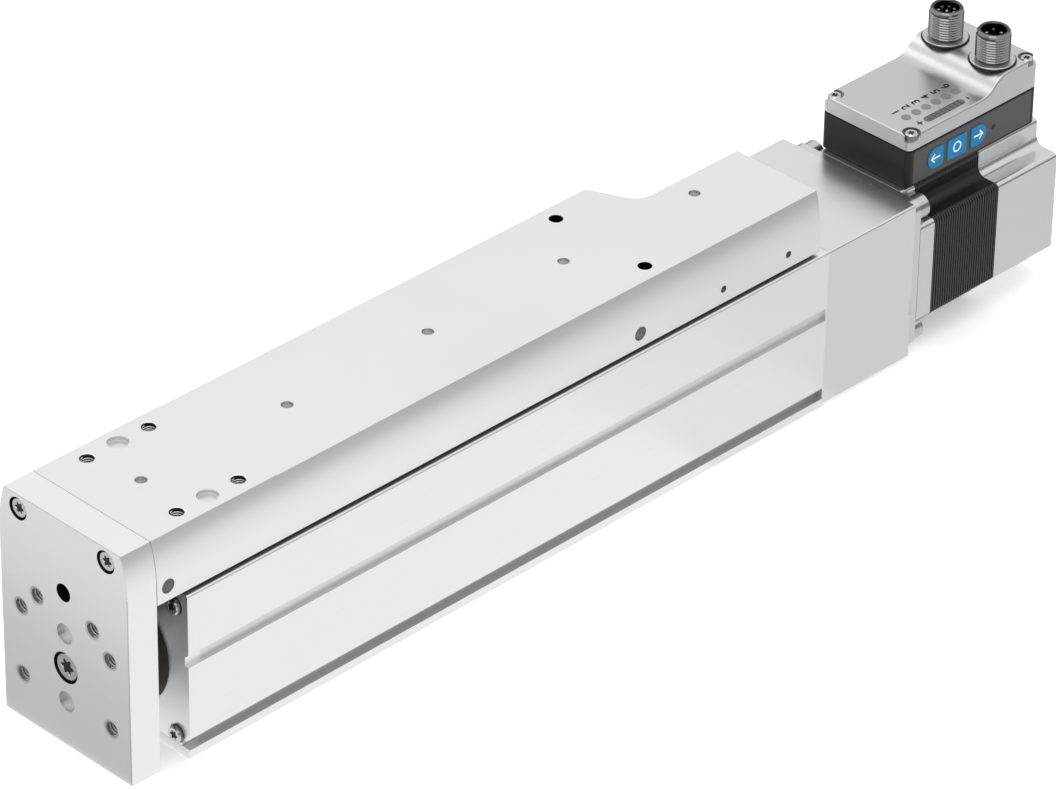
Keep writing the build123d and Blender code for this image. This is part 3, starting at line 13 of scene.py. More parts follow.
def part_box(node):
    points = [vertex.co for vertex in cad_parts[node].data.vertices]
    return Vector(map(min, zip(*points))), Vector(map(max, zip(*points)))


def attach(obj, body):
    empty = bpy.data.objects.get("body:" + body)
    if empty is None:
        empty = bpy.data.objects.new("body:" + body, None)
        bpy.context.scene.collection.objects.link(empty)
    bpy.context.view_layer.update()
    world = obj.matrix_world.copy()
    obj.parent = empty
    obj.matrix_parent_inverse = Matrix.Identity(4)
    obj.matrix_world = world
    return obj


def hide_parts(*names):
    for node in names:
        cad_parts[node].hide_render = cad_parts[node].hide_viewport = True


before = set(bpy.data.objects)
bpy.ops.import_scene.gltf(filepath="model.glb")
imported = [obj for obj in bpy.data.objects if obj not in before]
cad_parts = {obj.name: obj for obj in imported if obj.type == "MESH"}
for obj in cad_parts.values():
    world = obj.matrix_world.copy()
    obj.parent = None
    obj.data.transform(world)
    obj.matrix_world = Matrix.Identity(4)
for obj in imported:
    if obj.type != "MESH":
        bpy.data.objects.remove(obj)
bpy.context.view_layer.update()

LOG = logging.getLogger("mini_slide")
MM = 0.001
AXIS_HEIGHT = 30.0
QUARTER_TURN = math.pi / 2
Point = tuple[float, float, float]
Colour = tuple[float, float, float]
Outline = list[tuple[float, float]]
Stops = tuple[tuple[float, float], ...]


class Lay(Enum):
    """How the fine marks of a surface run, as a stretch of the grain's pattern."""

    ALL_ROUND = (1.0, 1.0, 1.0)
    ALONG_X = (0.03, 1.0, 1.0)
    ALONG_Z = (1.0, 1.0, 0.03)


class Face(Enum):
    """The way a piece's own Z axis points in the slide's frame."""

    UP = ((1, 0, 0), (0, 1, 0), (0, 0, 1))
    FRONT = ((0, -1, 0), (0, 0, 1), (-1, 0, 0))
    REAR = ((0, 1, 0), (0, 0, 1), (1, 0, 0))
    NEAR = ((1, 0, 0), (0, 0, 1), (0, -1, 0))

    def at(self, x: float, y: float, z: float) -> Matrix:
        """The matrix that puts a flat drawing there.

        Args:
            x: place along the slide, in millimetres.
            y: place across the slide, in millimetres.
            z: height over the mounting face, in millimetres.

        Returns:
            A matrix in metres, with this face's three axes.
        """
        across, upward, outward = (Vector(v) for v in self.value)
        turned = Matrix((across, upward, outward)).transposed().to_4x4()
        turned.translation = Vector((x, y, z)) * MM
        return turned


def link(tree: bpy.types.NodeTree, start: bpy.types.NodeSocket, end: bpy.types.NodeSocket) -> None:
    """Joins two sockets of a node tree."""
    tree.links.new(start, end)


def shader_group(name: str, given: dict[str, str], results: dict[str, str]) -> bpy.types.NodeTree:
    """Opens a shader group with named inputs and outputs.

    Args:
        name: the group's name.
        given: the kind of each input, such as Float, by its name.
        results: the kind of each output, by its name.

    Returns:
        The group's tree, with no nodes yet.
    """
    tree = bpy.data.node_groups.new(name, "ShaderNodeTree")
    for way, sockets in (("INPUT", given), ("OUTPUT", results)):
        for title, kind in sockets.items():
            tree.interface.new_socket(title, in_out=way, socket_type=f"NodeSocket{kind}")
    return tree


def operation(tree: bpy.types.NodeTree, kind: str, step: str) -> bpy.types.Node:
    """Adds a node that does one step of arithmetic.

    Args:
        tree: the node tree.
        kind: the node's type.
        step: the step that it does.

    Returns:
        The node.
    """
    node = tree.nodes.new(kind)
    node.operation = step
    return node


def set_stops(ramp: bpy.types.Node, stops: Stops) -> None:
    """Gives a colour ramp its grey stops.

    Args:
        ramp: the ramp's node.
        stops: the position and the brightness of each stop, in order.
    """
    elements = ramp.color_ramp.elements
    while len(elements) < len(stops):
        elements.new(0.5)
    for element, (position, value) in zip(elements, stops):
        element.position = position
        element.color = (value, value, value, 1.0)


class GrainGroup:
    """A shader group: fine marks in a surface, stretched the way its tool ran."""

    def __init__(self) -> None:
        """Builds the group once."""
        sockets = {"Place": "Vector", "Stretch": "Vector", "Scale": "Float"}
        self.tree = shader_group("fine_grain", sockets, {"Mask": "Float"})
        nodes = self.tree.nodes
        given = nodes.new("NodeGroupInput")
        result = nodes.new("NodeGroupOutput")
        stretch = operation(self.tree, "ShaderNodeVectorMath", "MULTIPLY")
        noise = nodes.new("ShaderNodeTexNoise")
        noise.inputs["Detail"].default_value = 3.0
        noise.inputs["Roughness"].default_value = 0.6
        link(self.tree, given.outputs["Place"], stretch.inputs[0])
        link(self.tree, given.outputs["Stretch"], stretch.inputs[1])
        link(self.tree, stretch.outputs[0], noise.inputs["Vector"])
        link(self.tree, given.outputs["Scale"], noise.inputs["Scale"])
        link(self.tree, noise.outputs[0], result.inputs["Mask"])


class CloudGroup:
    """A shader group: broad soft changes of colour and roughness over a surface."""

    def __init__(self) -> None:
        """Builds the group once."""
        sockets = {
            "Place": "Vector",
            "Scale": "Float",
            "Grain": "Float",
            "Grain Share": "Float",
            "Dark": "Color",
            "Light": "Color",
            "Low Roughness": "Float",
            "High Roughness": "Float",
        }
        results = {"Colour": "Color", "Roughness": "Float"}
        self.tree = shader_group("soft_clouds", sockets, results)
        nodes = self.tree.nodes
        given = nodes.new("NodeGroupInput")
        result = nodes.new("NodeGroupOutput")
        noise = nodes.new("ShaderNodeTexNoise")
        noise.inputs["Detail"].default_value = 2.0
        blend = nodes.new("ShaderNodeMix")
        blend.data_type = "FLOAT"
        spread = nodes.new("ShaderNodeMapRange")
        spread.inputs["From Min"].default_value = 0.3
        spread.inputs["From Max"].default_value = 0.7
        colour = nodes.new("ShaderNodeMix")
        colour.data_type = "RGBA"
        rough = nodes.new("ShaderNodeMapRange")
        link(self.tree, given.outputs["Place"], noise.inputs["Vector"])
        link(self.tree, given.outputs["Scale"], noise.inputs["Scale"])
        link(self.tree, given.outputs["Grain Share"], blend.inputs[0])
        link(self.tree, noise.outputs[0], blend.inputs[2])
        link(self.tree, given.outputs["Grain"], blend.inputs[3])
        link(self.tree, blend.outputs[0], spread.inputs["Value"])
        link(self.tree, spread.outputs[0], colour.inputs[0])
        link(self.tree, given.outputs["Dark"], colour.inputs[6])
        link(self.tree, given.outputs["Light"], colour.inputs[7])
        link(self.tree, spread.outputs[0], rough.inputs["Value"])
        link(self.tree, given.outputs["Low Roughness"], rough.inputs["To Min"])
        link(self.tree, given.outputs["High Roughness"], rough.inputs["To Max"])
        link(self.tree, colour.outputs[2], result.inputs["Colour"])
        link(self.tree, rough.outputs[0], result.inputs["Roughness"])


class DepthGroup:
    """A shader group for painted shade: how far under a piece's outer faces a point of its surface
    lies.
    """

    def __init__(self) -> None:
        """Builds the group once."""
        sockets = {
            "Place": "Vector",
            "Low": "Vector",
            "High": "Vector",
            "Lean From": "Float",
            "Lean": "Float",
        }
        self.tree = shader_group("inner_depth", sockets, {"Depth": "Float"})
        given = self.tree.nodes.new("NodeGroupInput")
        result = self.tree.nodes.new("NodeGroupOutput")
        place = given.outputs["Place"]
        parts = self.split(place)
        over = self.split(self.take_away(place, given.outputs["Low"]))
        under = self.split(self.take_away(given.outputs["High"], place))
        rise = self.calculate("SUBTRACT", parts["Z"], given.outputs["Lean From"])
        rise = self.calculate("MAXIMUM", rise, 0.0)
        lean = self.calculate("MULTIPLY", rise, given.outputs["Lean"])
        side = self.calculate("MINIMUM", over["Y"], under["Y"])
        depth = self.calculate("SUBTRACT", side, lean)
        for other in (over["X"], under["X"], over["Z"], under["Z"]):
            depth = self.calculate("MINIMUM", depth, other)
        link(self.tree, depth, result.inputs["Depth"])

    def split(self, vector: bpy.types.NodeSocket) -> bpy.types.bpy_prop_collection:
        """Takes a vector apart.

        Args:
            vector: the socket with the vector.

        Returns:
            Its three parts, by the names of their axes.
        """
        node = self.tree.nodes.new("ShaderNodeSeparateXYZ")
        link(self.tree, vector, node.inputs[0])
        return node.outputs

    def take_away(
        self, first: bpy.types.NodeSocket, second: bpy.types.NodeSocket
    ) -> bpy.types.NodeSocket:
        """Takes one vector from another.

        Args:
            first: the vector that is left when the other is taken away.
            second: the vector that is taken away.

        Returns:
            The difference.
        """
        node = operation(self.tree, "ShaderNodeVectorMath", "SUBTRACT")
        link(self.tree, first, node.inputs[0])
        link(self.tree, second, node.inputs[1])
        return node.outputs[0]

    def calculate(
        self, step: str, first: bpy.types.NodeSocket, second: bpy.types.NodeSocket | float
    ) -> bpy.types.NodeSocket:
        """Adds one step of arithmetic.

        Args:
            step: the kind of step.
            first: the first value.
            second: the second one, a socket or a number.

        Returns:
            The step's result.
        """
        node = operation(self.tree, "ShaderNodeMath", step)
        link(self.tree, first, node.inputs[0])
        if isinstance(second, float):
            node.inputs[1].default_value = second
        else:
            link(self.tree, second, node.inputs[1])
        return node.outputs[0]


class WellGroup:
    """A shader group for painted shade in holes: marks what lies within a distance of a point, a
    line or a plane.
    """

    def __init__(self) -> None:
        """Builds the group once."""
        sockets = {"Place": "Vector", "Centre": "Vector", "Measured": "Vector", "Radius": "Float"}
        self.tree = shader_group("well_mask", sockets, {"Mask": "Float"})
        given = self.tree.nodes.new("NodeGroupInput")
        result = self.tree.nodes.new("NodeGroupOutput")
        away = operation(self.tree, "ShaderNodeVectorMath", "SUBTRACT")
        measured = operation(self.tree, "ShaderNodeVectorMath", "MULTIPLY")
        length = operation(self.tree, "ShaderNodeVectorMath", "LENGTH")
        within = operation(self.tree, "ShaderNodeMath", "LESS_THAN")
        link(self.tree, given.outputs["Place"], away.inputs[0])
        link(self.tree, given.outputs["Centre"], away.inputs[1])
        link(self.tree, away.outputs[0], measured.inputs[0])
        link(self.tree, given.outputs["Measured"], measured.inputs[1])
        link(self.tree, measured.outputs[0], length.inputs[0])
        link(self.tree, length.outputs["Value"], within.inputs[0])
        link(self.tree, given.outputs["Radius"], within.inputs[1])
        link(self.tree, within.outputs[0], result.inputs["Mask"])


@dataclass(frozen=True)
class Well:
    """A hole or slot whose colour gets painted shade, darker than the rest, in millimetres.

    The mask measures the distance from the centre along the axes whose share in measured is 1.
    """

    centre: Point
    measured: Point
    radius: float


@dataclass(frozen=True)
class PaintedInnerShade:
    """Painted shade: how a piece's colour darkens towards its inner surfaces, in millimetres.

    Its box has the piece's outer faces as its sides, and the sides lean inwards from a height on.
    Each stop is a depth under them and the share of the colour that is left there.
    """

    low: Point
    high: Point
    stops: Stops
    reach: float = 10.0
    wells: tuple[Well, ...] = ()
    well_shade: float = 0.05
    lean_from: float = 0.0
    lean: float = 0.0

    def darken(
        self,
        tree: bpy.types.NodeTree,
        place: bpy.types.NodeSocket,
        colour: bpy.types.NodeSocket,
        paint: "Paintbox",
    ) -> bpy.types.NodeSocket:
        """Adds the nodes that darken a colour with painted shade.

        Args:
            tree: the material's tree.
            place: the surface's own coordinates.
            colour: the colour to darken.
            paint: where the shader groups are kept.

        Returns:
            The darkened colour.
        """
        deep = tree.nodes.new("ShaderNodeGroup")
        deep.node_tree = paint.depth.tree
        deep.inputs["Low"].default_value = [part * MM for part in self.low]
        deep.inputs["High"].default_value = [part * MM for part in self.high]
        deep.inputs["Lean From"].default_value = self.lean_from * MM
        deep.inputs["Lean"].default_value = self.lean
        link(tree, place, deep.inputs["Place"])
        share = operation(tree, "ShaderNodeMath", "DIVIDE")
        share.inputs[1].default_value = self.reach * MM
        link(tree, deep.outputs["Depth"], share.inputs[0])
        ramp = tree.nodes.new("ShaderNodeValToRGB")
        set_stops(ramp, tuple((depth / self.reach, value) for depth, value in self.stops))
        link(tree, share.outputs[0], ramp.inputs[0])
        shaded = self.multiply(tree, colour, ramp.outputs[0])
        for well in self.wells:
            shaded = self.multiply(tree, shaded, self.shade_well(tree, place, well, paint))
        return shaded

    def shade_well(
        self,
        tree: bpy.types.NodeTree,
        place: bpy.types.NodeSocket,
        well: Well,
        paint: "Paintbox",
    ) -> bpy.types.NodeSocket:
        """Adds the nodes that paint shade into one hole.

        Args:
            tree: the material's tree.
            place: the surface's own coordinates.
            well: the hole.
            paint: where the shader groups are kept.

        Returns:
            The share of the colour that is left: 1 outside the hole.
        """
        mask = tree.nodes.new("ShaderNodeGroup")
        mask.node_tree = paint.wells.tree
        mask.inputs["Centre"].default_value = [part * MM for part in well.centre]
        mask.inputs["Measured"].default_value = well.measured
        mask.inputs["Radius"].default_value = well.radius * MM
        link(tree, place, mask.inputs["Place"])
        spread = tree.nodes.new("ShaderNodeMapRange")
        spread.inputs["To Min"].default_value = 1.0
        spread.inputs["To Max"].default_value = self.well_shade
        link(tree, mask.outputs["Mask"], spread.inputs["Value"])
        return spread.outputs[0]

    def multiply(
        self, tree: bpy.types.NodeTree, first: bpy.types.NodeSocket, second: bpy.types.NodeSocket
    ) -> bpy.types.NodeSocket:
        """Multiplies two colours.

        Args:
            tree: the material's tree.
            first: the one colour.
            second: the other, or a brightness.

        Returns:
            Their product.
        """
        node = operation(tree, "ShaderNodeVectorMath", "MULTIPLY")
        link(tree, first, node.inputs[0])
        link(tree, second, node.inputs[1])
        return node.outputs[0]


@dataclass(frozen=True)
class Finish:
    """One surface finish, from which a material is made."""

    name: str
    colour: Colour
    metallic: float = 0.0
    roughness: float = 0.4
    lay: Lay = Lay.ALL_ROUND
    grain_scale: float = 1500.0
    grain_depth: float = 0.00002
    grain_share: float = 0.5
    variation: float = 0.06
    cloud_scale: float = 14.0
    coat: float = 0.0
    coat_roughness: float = 0.08
    specular: float = 0.5
    # painted shade towards inner surfaces and holes, if any
    inside: PaintedInnerShade | None = None

    def shade(self, factor: float) -> tuple[float, float, float, float]:
        """The finish's colour made lighter or darker.

        Args:
            factor: what the colour is multiplied by.

        Returns:
            The colour with an alpha of 1, none of it over 1.
        """
        red, green, blue = (min(1.0, part * factor) for part in self.colour)
        return (red, green, blue, 1.0)

    def build(self, paint: "Paintbox") -> bpy.types.Material:
        """Makes the material.

        Args:
            paint: where the shader groups are kept.

        Returns:
            A material that reads object coordinates.
        """
        material = bpy.data.materials.new(self.name)
        material.use_nodes = True
        tree = material.node_tree
        shader = tree.nodes["Principled BSDF"]
        place = tree.nodes.new("ShaderNodeTexCoord")
        marks = tree.nodes.new("ShaderNodeGroup")
        marks.node_tree = paint.grain.tree
        marks.inputs["Stretch"].default_value = self.lay.value
        marks.inputs["Scale"].default_value = self.grain_scale
        soft = tree.nodes.new("ShaderNodeGroup")
        soft.node_tree = paint.clouds.tree
        soft.inputs["Scale"].default_value = self.cloud_scale
        soft.inputs["Grain Share"].default_value = self.grain_share
        soft.inputs["Dark"].default_value = self.shade(1.0 - self.variation)
        soft.inputs["Light"].default_value = self.shade(1.0 + self.variation)
        spread = 2 * self.variation
        soft.inputs["Low Roughness"].default_value = self.roughness * (1.0 - spread)
        soft.inputs["High Roughness"].default_value = self.roughness * (1.0 + spread)
        bump = tree.nodes.new("ShaderNodeBump")
        bump.inputs["Distance"].default_value = self.grain_depth
        link(tree, place.outputs["Object"], marks.inputs["Place"])
        link(tree, place.outputs["Object"], soft.inputs["Place"])
        link(tree, marks.outputs["Mask"], soft.inputs["Grain"])
        link(tree, marks.outputs["Mask"], bump.inputs["Height"])
        link(tree, bump.outputs["Normal"], shader.inputs["Normal"])
        colour = soft.outputs["Colour"]
        # painted shade: darker under the outer faces and in holes
        if self.inside:
            colour = self.inside.darken(tree, place.outputs["Object"], colour, paint)
        link(tree, colour, shader.inputs["Base Color"])
        link(tree, soft.outputs["Roughness"], shader.inputs["Roughness"])
        shader.inputs["Metallic"].default_value = self.metallic
        shader.inputs["Specular IOR Level"].default_value = self.specular
        if self.coat > 0:
            shader.inputs["Coat Weight"].default_value = self.coat
            shader.inputs["Coat Roughness"].default_value = self.coat_roughness
        return material


# Distances that a well measures: from an axis along X, from one along Z, from a level plane
ALONG = (0.0, 1.0, 1.0)
UPWARD = (1.0, 1.0, 0.0)
LEVEL = (0.0, 0.0, 1.0)

# The outer faces that the painted inner shade is measured from
OUTER_HALF = 28.7
LEAN_FROM = 68.3
LEAN = 2.5 / 15.0

# Holes and bands that get painted shade; the channel's band darkens the table's underside beside
# the gap
RAIL_CHANNEL = Well((0.0, 0.0, 50.0), LEVEL, 11.25)
TABLE_BORE = 2.4
REAR_BORE_X, REAR_BORE_Y = 64.8, 19.8
PAD_BORE_XS, PAD_BORE_Y = (-135.6, -110.6), 20.0
YOKE_BORE = Well((0.0, 0.0, 57.5), ALONG, 3.1)
YOKE_SCREW_BORE, YOKE_SCREW_Y, YOKE_SCREW_Z = 3.9, 19.6, 78.3
ROD_SCREW_BORE = Well((0.0, 0.0, AXIS_HEIGHT), ALONG, 5.4)

# Painted shade inside the table, the yoke and the housing: colour darkens with depth under the
# outer faces
TABLE_INNER_SHADE = PaintedInnerShade(
    (-160.0, -OUTER_HALF, 0.0),
    (138.0, OUTER_HALF, 83.05),
    ((0.0, 1.0), (0.15, 0.7), (1.0, 0.75), (1.25, 1.0), (2.0, 0.8), (3.7, 0.65), (5.0, 0.12)),
    wells=(
        RAIL_CHANNEL,
        *(Well((REAR_BORE_X, y, 0.0), UPWARD, TABLE_BORE) for y in (REAR_BORE_Y, -REAR_BORE_Y)),
        *(
            Well((x, y, 0.0), UPWARD, TABLE_BORE)
            for x in PAD_BORE_XS
            for y in (PAD_BORE_Y, -PAD_BORE_Y)
        ),
    ),
    lean_from=LEAN_FROM,
    lean=LEAN,
)
YOKE_INNER_SHADE = PaintedInnerShade(
    (-163.7, -OUTER_HALF, 0.8),
    (-151.7, OUTER_HALF, 83.3),
    ((0.0, 1.0), (0.1, 0.64), (0.4, 0.66), (1.5, 0.85), (3.4, 0.35), (6.0, 0.2)),
    wells=(
        YOKE_BORE,
        *(
            Well((0.0, y, YOKE_SCREW_Z), ALONG, YOKE_SCREW_BORE)
            for y in (YOKE_SCREW_Y, -YOKE_SCREW_Y)
        ),
        ROD_SCREW_BORE,
    ),
    lean_from=LEAN_FROM,
    lean=LEAN,
)
HOUSING_INNER_SHADE = PaintedInnerShade(
    (-150.0, -30.0, 0.0),
    (150.0, 30.0, 60.0),
    ((0.0, 1.0), (0.3, 0.94), (1.6, 0.84), (3.6, 0.82), (6.0, 0.5), (9.0, 0.35)),
)

# Finishes, from the bright outside to the boards inside
ANODISED = Finish(
    "satin_anodised",
    (0.86, 0.865, 0.87),
    metallic=0.9,
    roughness=0.34,
    grain_scale=2600.0,
    grain_depth=0.000005,
    grain_share=0.35,
    variation=0.02,
    inside=TABLE_INNER_SHADE,
)
ANODISED_YOKE = replace(
    ANODISED, name="yoke_anodised", colour=(0.88, 0.885, 0.89), inside=YOKE_INNER_SHADE
)
ANODISED_LONG = Finish(
    "drawn_anodised",
    (0.87, 0.875, 0.88),
    metallic=0.9,
    roughness=0.32,
    lay=Lay.ALONG_X,
    grain_depth=0.000003,
    grain_share=0.6,
    variation=0.02,
    inside=HOUSING_INNER_SHADE,
)
ANODISED_COVER = replace(ANODISED_LONG, name="cover_anodised", lay=Lay.ALONG_Z, inside=None)
MACHINED = Finish(
    "machined_aluminium",
    (0.77, 0.775, 0.78),
    metallic=0.95,
    roughness=0.24,
    grain_scale=3200.0,
    grain_depth=0.000001,
    grain_share=0.3,
    variation=0.02,
)
CAST = Finish(
    "cast_aluminium",
    (0.62, 0.62, 0.625),
    metallic=0.95,
    roughness=0.33,
    grain_scale=3000.0,
    grain_depth=0.000006,
    variation=0.03,
)
CAST_MOTOR = Finish(
    "motor_casting",
    (0.70, 0.705, 0.71),
    metallic=0.95,
    roughness=0.24,
    lay=Lay.ALONG_X,
    grain_scale=2400.0,
    grain_depth=0.000002,
    grain_share=0.3,
    variation=0.02,
)
LAMINATION = Finish(
    "black_laminations", (0.03, 0.03, 0.031), 0.1, 0.42, grain_depth=0.000004, specular=0.45
)
STEEL = Finish(
    "ground_steel", (0.62, 0.62, 0.63), 1.0, 0.26, lay=Lay.ALONG_X, grain_depth=0.000004
)
SCREW = Finish("bright_screw_steel", (0.62, 0.62, 0.63), 1.0, 0.24, grain_depth=0.000002)
# knurled band, darker than the head's steel: partly the knurl's own look, partly painted shade of
# the gap round the head
KNURL_AND_GAP_SHADE = Finish("knurl_and_gap_shade", (0.30, 0.30, 0.31), 1.0, 0.3, grain_depth=0.000002)
# painted shade: the dark sheet laid in each screw recess
RECESS_SHADE = Finish("screw_shadow", (0.035, 0.035, 0.037), 0.9, 0.45, grain_depth=0.000004)
# painted shade: thread ridges darker than the plate they are cut in, so the tapped holes read dark
THREAD_PAINTED_SHADE = Finish("thread_painted_shade", (0.52, 0.52, 0.53), 0.95, 0.3, grain_depth=0.000002)
CHROME = Finish("polished_chrome", (0.80, 0.80, 0.81), 1.0, 0.08, grain_depth=0.000001)
# painted shade: the connector shells' nickel darkened to stand in for dark reflections
NICKEL_PAINTED_SHADE = Finish("nickel_painted_shade", (0.09, 0.088, 0.086), 1.0, 0.2, grain_depth=0.000001)
# painted highlight: a brighter copy of the same nickel for thread crests and rims
NICKEL_PAINTED_HIGHLIGHT = Finish("nickel_painted_highlight", (0.27, 0.266, 0.258), 1.0, 0.16, grain_depth=0.000001)
CONTACT = Finish("plated_contact", (0.42, 0.38, 0.30), 1.0, 0.28, grain_depth=0.000001)
BRONZE = Finish("sintered_bronze", (0.55, 0.38, 0.22), 1.0, 0.45)
BLACK_PLASTIC = Finish(
    "black_plastic",
    (0.016, 0.0145, 0.0135),
    0.0,
    0.38,
    grain_scale=4000.0,
    grain_depth=0.000006,
    specular=0.3,
)
PANEL = Finish(
    "grey_panel",
    (0.075, 0.071, 0.071),
    0.0,
    0.4,
    grain_scale=5000.0,
    grain_depth=0.000004,
    specular=0.35,
)
BLUE_KEY = Finish("blue_key", (0.003, 0.20, 0.43), 0.0, 0.38, grain_depth=0.000002, specular=0.2)
WHITE_MARK = Finish("white_print", (0.85, 0.87, 0.88), 0.0, 0.4, grain_depth=0.000002)
BLACK_MARK = Finish("black_print", (0.02, 0.02, 0.02), 0.0, 0.5, grain_depth=0.000002, specular=0.2)
LAMP = Finish("clear_lamp", (0.22, 0.225, 0.22), 0.0, 0.25, grain_depth=0.000002, coat=0.2)
BAR_LAMP = Finish("bar_lamp", (0.10, 0.105, 0.10), 0.0, 0.3, grain_depth=0.000002, coat=0.2)
RUBBER = Finish("black_rubber", (0.012, 0.012, 0.012), 0.0, 0.6, grain_depth=0.00001, specular=0.3)
ELASTOMER = Finish("blue_elastomer", (0.03, 0.08, 0.35), 0.0, 0.5)
BOARD = Finish("circuit_board", (0.01, 0.10, 0.04), 0.0, 0.3, coat=0.3)

NODE_FINISHES: dict[Finish, tuple[str, ...]] = {
    ANODISED: ("slide_table",),
    ANODISED_YOKE: ("yoke_plate",),
    ANODISED_LONG: ("housing_profile",),
    ANODISED_COVER: ("front_cover",),
    MACHINED: ("coupling_housing", "spindle_hub", "motor_hub"),
    CAST: ("drive_cover",),
    CAST_MOTOR: ("motor_flange", "motor_rear_housing", "motor_end_plate"),
    LAMINATION: ("stator",),
    STEEL: (
        "guide_rail",
        "guide_block_1",
        "guide_block_2",
        "ball_nut",
        "ball_screw",
        "spindle_bearing_outer",
        "spindle_bearing_inner",
        "spindle_bearing_balls",
        "motor_bearing_outer",
        "motor_bearing_inner",
        "motor_bearing_balls",
        "motor_shaft",
        "rotor",
        "spindle_lock_nut",
        "bearing_retainer",
        "encoder_magnet",
    ),
    SCREW: (
        "front_cover_screws",
        "yoke_screws",
        "rod_screw",
        "rail_screws",
        "guide_block_screws",
        "coupling_housing_screws",
        "motor_screws",
        "end_plate_screws",
        "drive_cover_screws",
    ),
    CHROME: ("piston_rod",),
    NICKEL_PAINTED_SHADE: ("power_connector_shell", "signal_connector_shell"),
    CONTACT: ("connector_pins",),
    BRONZE: ("rod_bush",),
    BLACK_PLASTIC: ("rod_seal_cap", "guide_block_caps", "drive_box", "connector_inserts"),
    PANEL: ("control_panel",),
    BLUE_KEY: ("key_left", "key_middle", "key_right"),
    LAMP: ("lamp_lenses",),
    BAR_LAMP: ("level_bar_lenses",),
    RUBBER: ("rod_wiper", "front_buffer", "rear_buffer", "drive_gasket", "connector_seals"),
    ELASTOMER: ("coupling_star",),
    BOARD: ("encoder_board", "drive_board"),
}


class Paintbox:
    """Keeps one material for each finish."""

    def __init__(self) -> None:
        """Starts with the shader groups and no materials."""
        self.grain = GrainGroup()
        self.clouds = CloudGroup()
        self.depth = DepthGroup()
        self.wells = WellGroup()
        self.made: dict[str, bpy.types.Material] = {}

    def get(self, finish: Finish) -> bpy.types.Material:
        """The finish's material, made on first use.

        Args:
            finish: the finish wanted.

        Returns:
            Its material.
        """
        if finish.name not in self.made:
            self.made[finish.name] = finish.build(self)
        return self.made[finish.name]

    def dress_nodes(self) -> None:
        """Gives every solid of the frame its finish."""
        for finish, names in NODE_FINISHES.items():
            for name in names:
                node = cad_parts[name]
                for held in node.material_slots:
                    held.material = self.get(finish)
                LOG.info("%s wears %s", name, finish.name)


